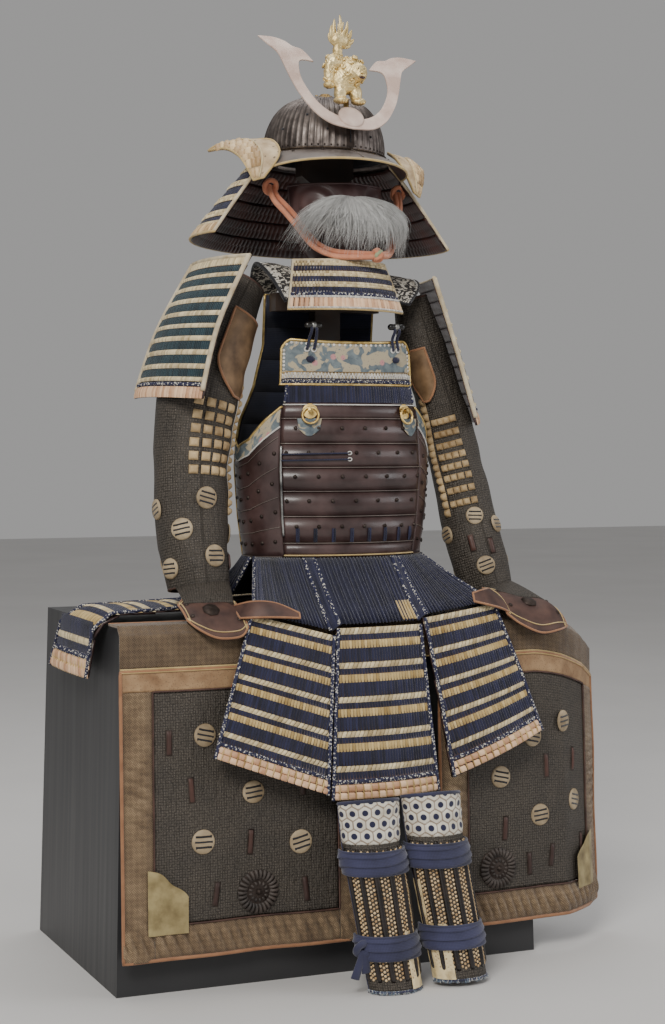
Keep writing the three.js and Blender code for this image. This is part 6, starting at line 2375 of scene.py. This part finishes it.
def puckers(length, height, half):
    """Small gathers across the brocade border, where its stitches draw it in."""
    start, end = half
    side = np.minimum(length - start, end - length)
    low = height - APRON["bottom"]
    gather = lambda along: 2 * np.abs(np.sin(along)) - 1.1
    upright = np.exp(-(((side - 27) / 19) ** 2)) * gather(
        height / 6.2 + 0.8 * np.sin(height / 31) + side / 15
    )
    level = np.exp(-(((low - 27) / 19) ** 2)) * gather(length / 5.6 + 0.8 * np.sin(length / 37) + low / 13)
    level *= low < 60
    upright *= (0.55 + 0.45 * np.sin(height / 41 + start)) * np.clip((low - 34) / 30, 0, 1)
    roll = 3.4 * np.exp(-(((side - 27) / 20) ** 4)) + 3.4 * np.exp(-(((low - 27) / 20) ** 4))
    return 2.4 * upright + 3.4 * level + np.minimum(roll, 3.6)


def border_surface(length, height, out=0):
    length, height, out = full(length, height, out)
    return apron(length, height, apron_folds(length, height) + out)


def make_border(side):
    start, end = HALVES[side]
    surface = border_surface
    edge, top, low = APRON["border"], APRON["band"], APRON["bottom"]
    band_low = top - APRON["band_height"]
    strips, pile = Pile(), Pile()

    def cloth(from_, to, high, foot, stuff, gather=True):
        columns, rows = max(4, int((to - from_) / 3.2)), max(4, int((high - foot) / 3.6))
        length, height = np.meshgrid(np.linspace(from_, to, columns), np.linspace(high, foot, rows))
        lift = puckers(length, height, HALVES[side]) if gather else 0.8
        outer = surface(length, height, lift)
        # The lay's third value carries the gather height, from which the brocade finish paints shade into the
        # valleys.
        lay = np.zeros((*length.shape, 3))
        lay[..., 0], lay[..., 1], lay[..., 2] = length, height, lift
        strips.sheet(outer, surface(length, height, lift - 3.4), stuff, lay=lay, lining="indigo")

    cloth(start, end, top, band_low, "band_leather", gather=False)
    cloth(start, start + edge, band_low, low, "brocade")
    cloth(end - edge, end, band_low, low, "brocade")
    cloth(start + edge, end - edge, low + edge, low, "brocade")
    outline = [(start, top), (start, low), (end, low), (end, top)]
    inside = [
        (start + edge, band_low), (start + edge, low + edge), (end - edge, low + edge),
        (end - edge, band_low)
    ]
    for corners, thick, out, stuff in ((outline, 3.2, 0.2, "rust"), (inside, 1.6, 0.6, "brown_leather")):
        line = []
        ring = corners + corners[:1]
        for a, b in zip(ring[:-1], ring[1:]):
            steps = max(2, int(math.dist(a, b) / 6))
            line += [
                (a[0] + (b[0] - a[0]) * k / steps, a[1] + (b[1] - a[1]) * k / steps) for k in range(steps)
            ]
        line = np.array(line)
        inset = 0.8 if corners is outline else 0
        centre = np.array(((start + end) / 2, (top + low) / 2))
        line = line - np.sign(line - centre) * inset
        pile.tube(surface(line[:, 0], line[:, 1], out), thick, stuff, 6, closed=True)
    braid = np.linspace(start + 2, end - 2, 160)
    pile.tube(surface(braid, np.full(160, top - 1.5), 1.6), 1.8, "gold_cord", 6)
    cut = corner_patch(side)
    corner = surface(cut[..., 0], cut[..., 1], 6.6 + 0.5 * np.sin(cut[..., 0] / 7))
    pile.grid(corner, "gold_leather", lay=measured(corner))
    piece = finished(strips.make(f"thigh_border_{side}_brocade"), "brocade", f"thigh_border_{side}")
    trim = finished(pile.make(f"thigh_border_{side}_piping"), "brocade")


def corner_patch(side):
    """Gilt leather at the lower outer corner of the mail panel, with its upper edge cut in a curve."""
    start, end = HALVES[side]
    u, v = np.meshgrid(shares(26), shares(30))
    ceiling = 205 - 14 * u - 20 / (1 + np.exp(-(u - 0.42) * 14)) - 12 * u**6
    height = 101 + (ceiling - 101) * v
    length = 41 + 68 * u + 4 * v * np.sin(math.pi * u)
    if side == "right":
        return np.stack([start + length, height], -1)[::-1]
    return np.stack([end - length, height], -1)[::-1, ::-1]


# Discs (share across, share down, radius), oblong plates (across, down, half width, half height, turn)
# and round rosettes on each mail panel.
PANEL_DISCS = {
    "right": [
        (0.272, 0.196, 19), (0.534, 0.457, 19), (0.256, 0.656, 20), (0.79, 0.691, 20), (0.78, 0.2, 19)
    ],
    "left": [
        (0.23, 0.476, 19), (0.511, 0.667, 19), (0.24, 0.12, 19), (0.72, 0.22, 19), (0.82, 0.6, 19),
        (0.47, 0.3, 18)
    ],
}
PANEL_OBLONGS = {
    "right": [
        (0.197, 0.43, 4.4, 20, 4), (0.516, 0.675, 4.4, 20, -4), (0.325, 0.887, 4.4, 19, -8),
        (0.815, 0.9, 4.4, 20, 6), (0.5, 0.2, 4.4, 20, 0), (0.8, 0.43, 4.4, 20, 3), (0.08, 0.22, 4.4, 20, 0)
    ],
    "left": [
        (0.569, 0.438, 4.4, 20, 5), (0.256, 0.715, 4.4, 20, -4), (0.431, 0.89, 4.4, 19, 3),
        (0.12, 0.27, 4.4, 20, 0), (0.82, 0.4, 4.4, 20, 4), (0.6, 0.86, 4.4, 19, -3), (0.9, 0.82, 4.4, 18, 0)
    ],
}
ROSETTES = {"right": (0.556, 0.895, 37), "left": (0.2, 0.895, 36)}


def make_panel(side):
    start, end = HALVES[side]
    gap = 3 * SEAM
    left, right = start + APRON["border"] + gap, end - APRON["border"] - gap
    high, low = APRON["band"] - APRON["band_height"] - gap, APRON["bottom"] + APRON["border"] + gap

    def surface(s, t, out=0):
        s, t, out = full(s, t, out)
        length, height = left + (right - left) * s, high + (low - high) * t
        swell = 2.6 * np.sin(math.pi * s) ** 0.6 * np.sin(math.pi * t) ** 0.6
        return apron(length, height, apron_folds(length, height) + swell - 1.4 + out)

    cloth, pile = Pile(), Pile()
    outer = walled(surface, shares(64), shares(76), 3, cloth, "mail", lining="indigo")
    s, t, radius = ROSETTES[side]
    centre, angle = seats(surface, np.array([s]), t, 0.8)
    spin = np.array(Euler(angle[0]).to_matrix())
    profile = [
        (radius * 0.97, -2), (radius * 0.9, 1.4), (radius * 0.52, 2.0), (radius * 0.36, 3.4),
        (radius * 0.2, 4.6), (0.1, 5)
    ]
    pile.grid(lathe(profile, 44) @ spin.T + centre, "iron", closed=True)
    leaves, ribs = [], []
    for k in range(26):
        turn = k / 26 * 2 * math.pi
        for share, holder in ((0.75, leaves), (0.37, ribs)):
            if share < 0.5 and k % 2:
                continue
            reach = radius * share * np.array((math.cos(turn), math.sin(turn), 0)) + (0, 0, 1.8)
            holder.append(((centre + spin @ reach).reshape(1, 3), turned_angle(spin, turn)))
    parts = [
        pile.make(f"thigh_panel_{side}_rosette"),
        repeated(f"thigh_panel_{side}_rays", leaves, LOZENGE, "disc_dark", (6.2, radius * 0.44, 5.0)),
        repeated(f"thigh_panel_{side}_ribs", ribs, LOZENGE, "disc_dark", (5.0, radius * 0.22, 4.4)),
        repeated(f"thigh_panel_{side}_knob", [(centre, angle)], RIVET, "iron", (6.5, 6.5, 10)),
        *set_discs(f"thigh_panel_{side}", surface, PANEL_DISCS[side]),
        *set_oblongs(f"thigh_panel_{side}", surface, PANEL_OBLONGS[side]),
    ]
    sewn(
        cloth.make(f"thigh_panel_{side}_mail"), joined(f"thigh_panel_{side}_plates", parts), "mail_cloth",
        f"thigh_panel_{side}",
    )


def turned_angle(spin, turn):
    """Angles of a petal that points outwards at a turn round a flat-lying rosette."""
    up = spin @ np.array((math.cos(turn), math.sin(turn), 0))
    away = spin @ np.array((0, 0, 1.0))
    across = np.cross(up, away)
    return angles_of(across[None], up[None], away[None])


WAIST_ROWS = [(60, 593.6), (28, 593.6), (14, 593.6), (-1, APRON["top"]), (0, APRON["band"] + 3 * SEAM)]


def waist_point(length, row, out=0):
    length, row, out = full(length, row, out)
    overhang = np.maximum(0, length - DROOP_FROM) / (APRON_LENGTH - DROOP_FROM)
    points = []
    for back, height in WAIST_ROWS:
        if back <= 0:
            points.append(apron(length, np.full(length.shape, float(height)), out - back))
            continue
        reach = back + (20 - back) * np.minimum(1, 3 * overhang) if back > 14 else np.full(
            length.shape, float(back)
        )
        base = apron(length, np.full(length.shape, float(height)))
        _, inwards = apron_path(length)
        base[..., :2] += inwards * reach[..., None]
        base[..., 2] += out
        points.append(base)
    points = np.stack(points)
    place = np.clip(row, 0, 1) * (len(WAIST_ROWS) - 1)
    low = np.minimum(place.astype(int), len(WAIST_ROWS) - 2)
    share = (place - low)[..., None]
    pick = lambda k: np.take_along_axis(points, k[None, ..., None], 0)[0]
    return pick(low) * (1 - share) + pick(low + 1) * share


def make_waist():
    surface = lambda s, t, out=0: waist_point(np.asarray(s) * APRON_LENGTH, t, out)
    cloth, pile = Pile(), Pile()
    gather = lambda s, t: (
        1.1 * np.sin(s * 190 + 2 * np.sin(t * 5)) + 0.8 * np.sin(s * 71)
    ) * np.clip(t * 1.6 - 0.5, 0, 1) * (1 - 0.6 * t)
    down = np.concatenate([np.linspace(0, 0.5, 6)[:-1], np.linspace(0.5, 1, 13)])
    outer = walled(
        surface, shares(280), down, 3.6, cloth, "brocade", proud=0.2, shape=gather, lining="indigo"
    )
    run = shares(170)
    pile.tube(surface(run, np.full(170, 0.0), -0.6), 2.2, "rust", 8)
    pile.tube(surface(run, np.full(170, 0.99), 0.6), 1.6, "gold_cord", 6)
    sewn(
        cloth.make("thigh_waist_brocade"), pile.make("thigh_waist_piping"), "brocade", "thigh_waist",
    )


# ---- shin guards -----------------------------------------------------------------------------------

SHINS = {
    "right": [
        (-49, -320, 306, 53, 32), (-47, -326, 234, 50, 34), (-38, -338, 160, 49, 34),
        (-30, -352, 80, 47, 32), (-22, -368, 3, 45, 30)
    ],
    "left": [
        (64, -320, 310, 52, 32), (69, -326, 238, 50, 34), (77, -338, 165, 49, 34), (87, -352, 88, 48, 32),
        (96, -368, 10, 47, 30)
    ],
}


def shin_point(rows, z, degrees, out=0):
    rows = np.array(rows, float)[::-1]
    z, degrees, out = full(z, degrees, out)
    at = lambda column: np.interp(z, rows[:, 2], rows[:, column])
    angle = np.radians(degrees)
    return np.stack([at(0) + (at(3) + out) * np.sin(angle), at(1) - (at(4) + out) * np.cos(angle), z], -1)


def shin_surface(rows, top, bottom, lift=0, half=96, arch=0):
    def surface(s, t, out=0):
        s, t, out = full(s, t, out)
        degrees = half * (2 * s - 1)
        rise = arch * np.cos(np.radians(degrees * 0.9))
        return shin_point(rows, (top + rise) * (1 - t) + bottom * t, degrees, out + lift)

    return surface


def net_distances(u, v, pitch):
    """Distance to the nearest line of a hexagon net, and to the middle of its cell, in cells."""
    p = np.stack([u / pitch, v / pitch], -1)
    step = np.array((1.0, 1.7320508))
    a = np.mod(p, step) - step / 2
    b = np.mod(p - step / 2, step) - step / 2
    nearer = (np.linalg.norm(a, axis=-1) < np.linalg.norm(b, axis=-1))[..., None]
    cell = np.where(nearer, a, b)
    q = np.abs(cell)
    to_edge = 0.5 - np.maximum(q[..., 0], q[..., 0] * 0.5 + q[..., 1] * 0.8660254)
    return to_edge, np.linalg.norm(cell, axis=-1)


def make_knee_cloth(side, rows):
    top = rows[0][2]
    surface = shin_surface(rows, top - 8, top - 70 + SEAM, arch=8)
    pile = Pile()
    quilt = lambda s, t: (
        2.0 * np.abs(np.sin(t * math.pi * 3)) ** 0.7 * np.sin(math.pi * s) ** 0.3
        + 0.5 * np.sin(s * 21 + t * 4)
    )
    across, down = shares(64), shares(40)
    walled(surface, across, down, 3, pile, "knee", shape=quilt, lining="lining")
    raised = lambda s, t, out=0: surface(s, t, quilt(s, t) + out)
    pile.tube(edge_line(raised, "top", -0.8, 80), 3.2, "indigo", 8)
    for edge in ("left", "right"):
        pile.tube(edge_line(raised, edge, -0.8, 30), 2.2, "indigo", 8)
    made = pile.make(f"knee_cloth_{side}_hexagons")
    lay = np.empty(len(made.data.vertices) * 3, np.float32)
    made.data.attributes["lay"].data.foreach_get("vector", lay)
    lay = lay.reshape(-1, 3) / MM
    line, dot = net_distances(lay[:, 0], lay[:, 1], 21.0)
    write(made.data, "hex", "FLOAT_VECTOR", np.stack([line, dot, np.zeros(len(line))], 1))
    finished(made, "knotted_cloth", f"knee_cloth_{side}")


SPLINT_TURNS = (-78, -47, -16, 15, 46, 77)


def make_shin_splint(surface, pile, middle):
    """One narrow domed splint, black and glossy."""
    wide, high, low = 0.031, 0.03, 0.93

    def splint(s, t, out=0):
        s, t, out = full(s, t, out)
        ends = np.clip((t - 0.95) / 0.05, 0, 1) ** 2 + np.clip((0.05 - t) / 0.05, 0, 1) ** 2
        round_end = 1 - 0.35 * ends
        return surface(middle + wide * (2 * s - 1) * round_end, high + (low - high) * t, out)

    s, t = np.meshgrid(shares(9), shares(34))
    crown = 4.4 * np.clip(
        1 - np.abs(2 * s - 1) ** 2.2, 0, 1
    ) ** 0.7 * np.clip(1 - np.abs(2 * t - 1) ** 30, 0, 1)
    pile.sheet(splint(s, t, 0.2 + crown), splint(s, t, -0.6), "black_lacquer")


def make_shin_guard(side, rows):
    top, bottom = rows[0][2] - 70, rows[-1][2]
    surface = shin_surface(rows, top, bottom)
    pile = Pile()
    walled(surface, shares(60), shares(34), 4, pile, "mail", lining="indigo")
    middles = [(turn + 96) / 192 for turn in SPLINT_TURNS]
    for middle in middles:
        make_shin_splint(surface, pile, middle)
    inner = side == "right"
    for low, high, start, end in ((0.63, 0.98, 0.6, 0.985), (0.84, 0.985, 0.3, 0.6)):
        if not inner:
            low, high = 1 - high, 1 - low
        s, t = np.meshgrid(np.linspace(low, high, 30), np.linspace(start, end, 30))
        panel = surface(s, t, 1.7 + 0.4 * np.sin(s * 60) * np.sin(t * 40))
        pile.grid(panel, "gold_leaf", lay=measured(panel))
    pile.tube(surface(shares(70), np.full(70, 0.995), -1.2), 2.6, "indigo", 8)
    for edge in ("left", "right"):
        pile.tube(edge_line(surface, edge, -1.0, 60, 0.002), 2.2, "indigo", 8)
    chance = random.Random(3 if side == "right" else 4)
    threads = Pile()
    for _ in range(240):
        start = surface(chance.random(), 0.985, 0.4)
        fall = chance.uniform(0.5, 0.95) * min(9.0, bottom + 8.0)
        sway = (chance.uniform(-3, 3), chance.uniform(-3, 1), -fall * 0.8)
        line = np.array(
            [start, start + (chance.uniform(-2, 2), chance.uniform(-2, 1), -fall * 0.5), start + sway]
        )
        threads.tube(line, 0.5, chance.choice(("white", "pale_blue", "pale_blue", "lining")), 4)
    dots = []
    for left, right in zip(middles[:-1], middles[1:]):
        for k in range(3):
            share = left + (right - left) * (0.29 + 0.21 * k)
            dots.append(
                seats(surface, np.full(31, share), np.linspace(0.05, 0.9, 31) + 0.012 * (k % 2), 0.5)
            )
    parts = [
        pile.make(f"shin_guard_{side}"), threads.make(f"shin_threads_{side}"),
        repeated(f"shin_{side}_dots", dots, RIVET, "tan_scales", (2.2, 2.4, 1.5)),
    ]
    finished(joined(f"shin_guard_{side}_splints", parts), "black_lacquer", f"shin_guard_{side}")


def make_tie(side, name, rows, top, height, tail):
    """Folded indigo band: long soft pleats that run round it, with a knot where it is tied."""
    surface = shin_surface(rows, top, top - height, 6, 104)
    fold = lambda slant, sharp: (
        ((slant % 1) ** sharp) * (1 - np.clip(((slant % 1) - 0.9) / 0.1, 0, 1) ** 2)
    )
    pleats = lambda s, t: (
        2.2 + 3.4 * fold(t * 2.6 + 1.1 * s + 0.16 * np.sin(s * 9), 1.6) + 0.7 * np.sin(s * 19 + t * 4)
    ) * np.sin(math.pi * np.clip(t, 0.02, 0.98)) ** 0.3
    cloth, pile = Pile(), Pile()
    outer = walled(surface, shares(64), shares(30), 4.4, cloth, "indigo", shape=pleats)
    raised = lambda s, t, out=0: surface(s, t, pleats(s, t) + out)
    for t in (0.015, 0.985):
        pile.tube(raised(shares(80), np.full(80, t), -1.6), 2.4, "indigo", 8)
    if tail:
        place = 0.18
        knot = surface(np.array([place]), 0.5, 3)[0]
        turns = turns_of(40)
        loop = np.stack(
            [
                knot[0] + 12 * np.cos(turns), knot[1] - 3 + 2.5 * np.sin(2 * turns),
                knot[2] + 9 * np.sin(turns)
            ],
            -1
        )
        pile.tube(loop, 5.0, "indigo", 10, closed=True, flat=1.3)
        for lean, length in ((-16, 46), (4, 38)):
            line = np.array(
                [knot + (0, -4, -2), knot + (lean * 0.5, -7, -length * 0.45), knot + (lean, -5, -length)]
            )
            pile.tube(curve_through(line, 16), np.linspace(6, 8, 16), "indigo", 10, flat=0.32, up=(0, 1, 0))
    sewn(
        cloth.make(f"shin_tie_{name}_{side}_cotton"), pile.make(f"shin_tie_{name}_{side}_knot"),
        "indigo_cloth", f"shin_tie_{name}_{side}",
    )


make_waist()
for half_side in ("right", "left"):
    make_border(half_side)
    make_panel(half_side)
for leg, shin_rows in SHINS.items():
    make_knee_cloth(leg, shin_rows)
    make_shin_guard(leg, shin_rows)
    make_tie(leg, "upper", shin_rows, shin_rows[0][2] - 82, 36, tail=False)
    make_tie(leg, "lower", shin_rows, shin_rows[-1][2] + 88, 36, tail=leg == "right")
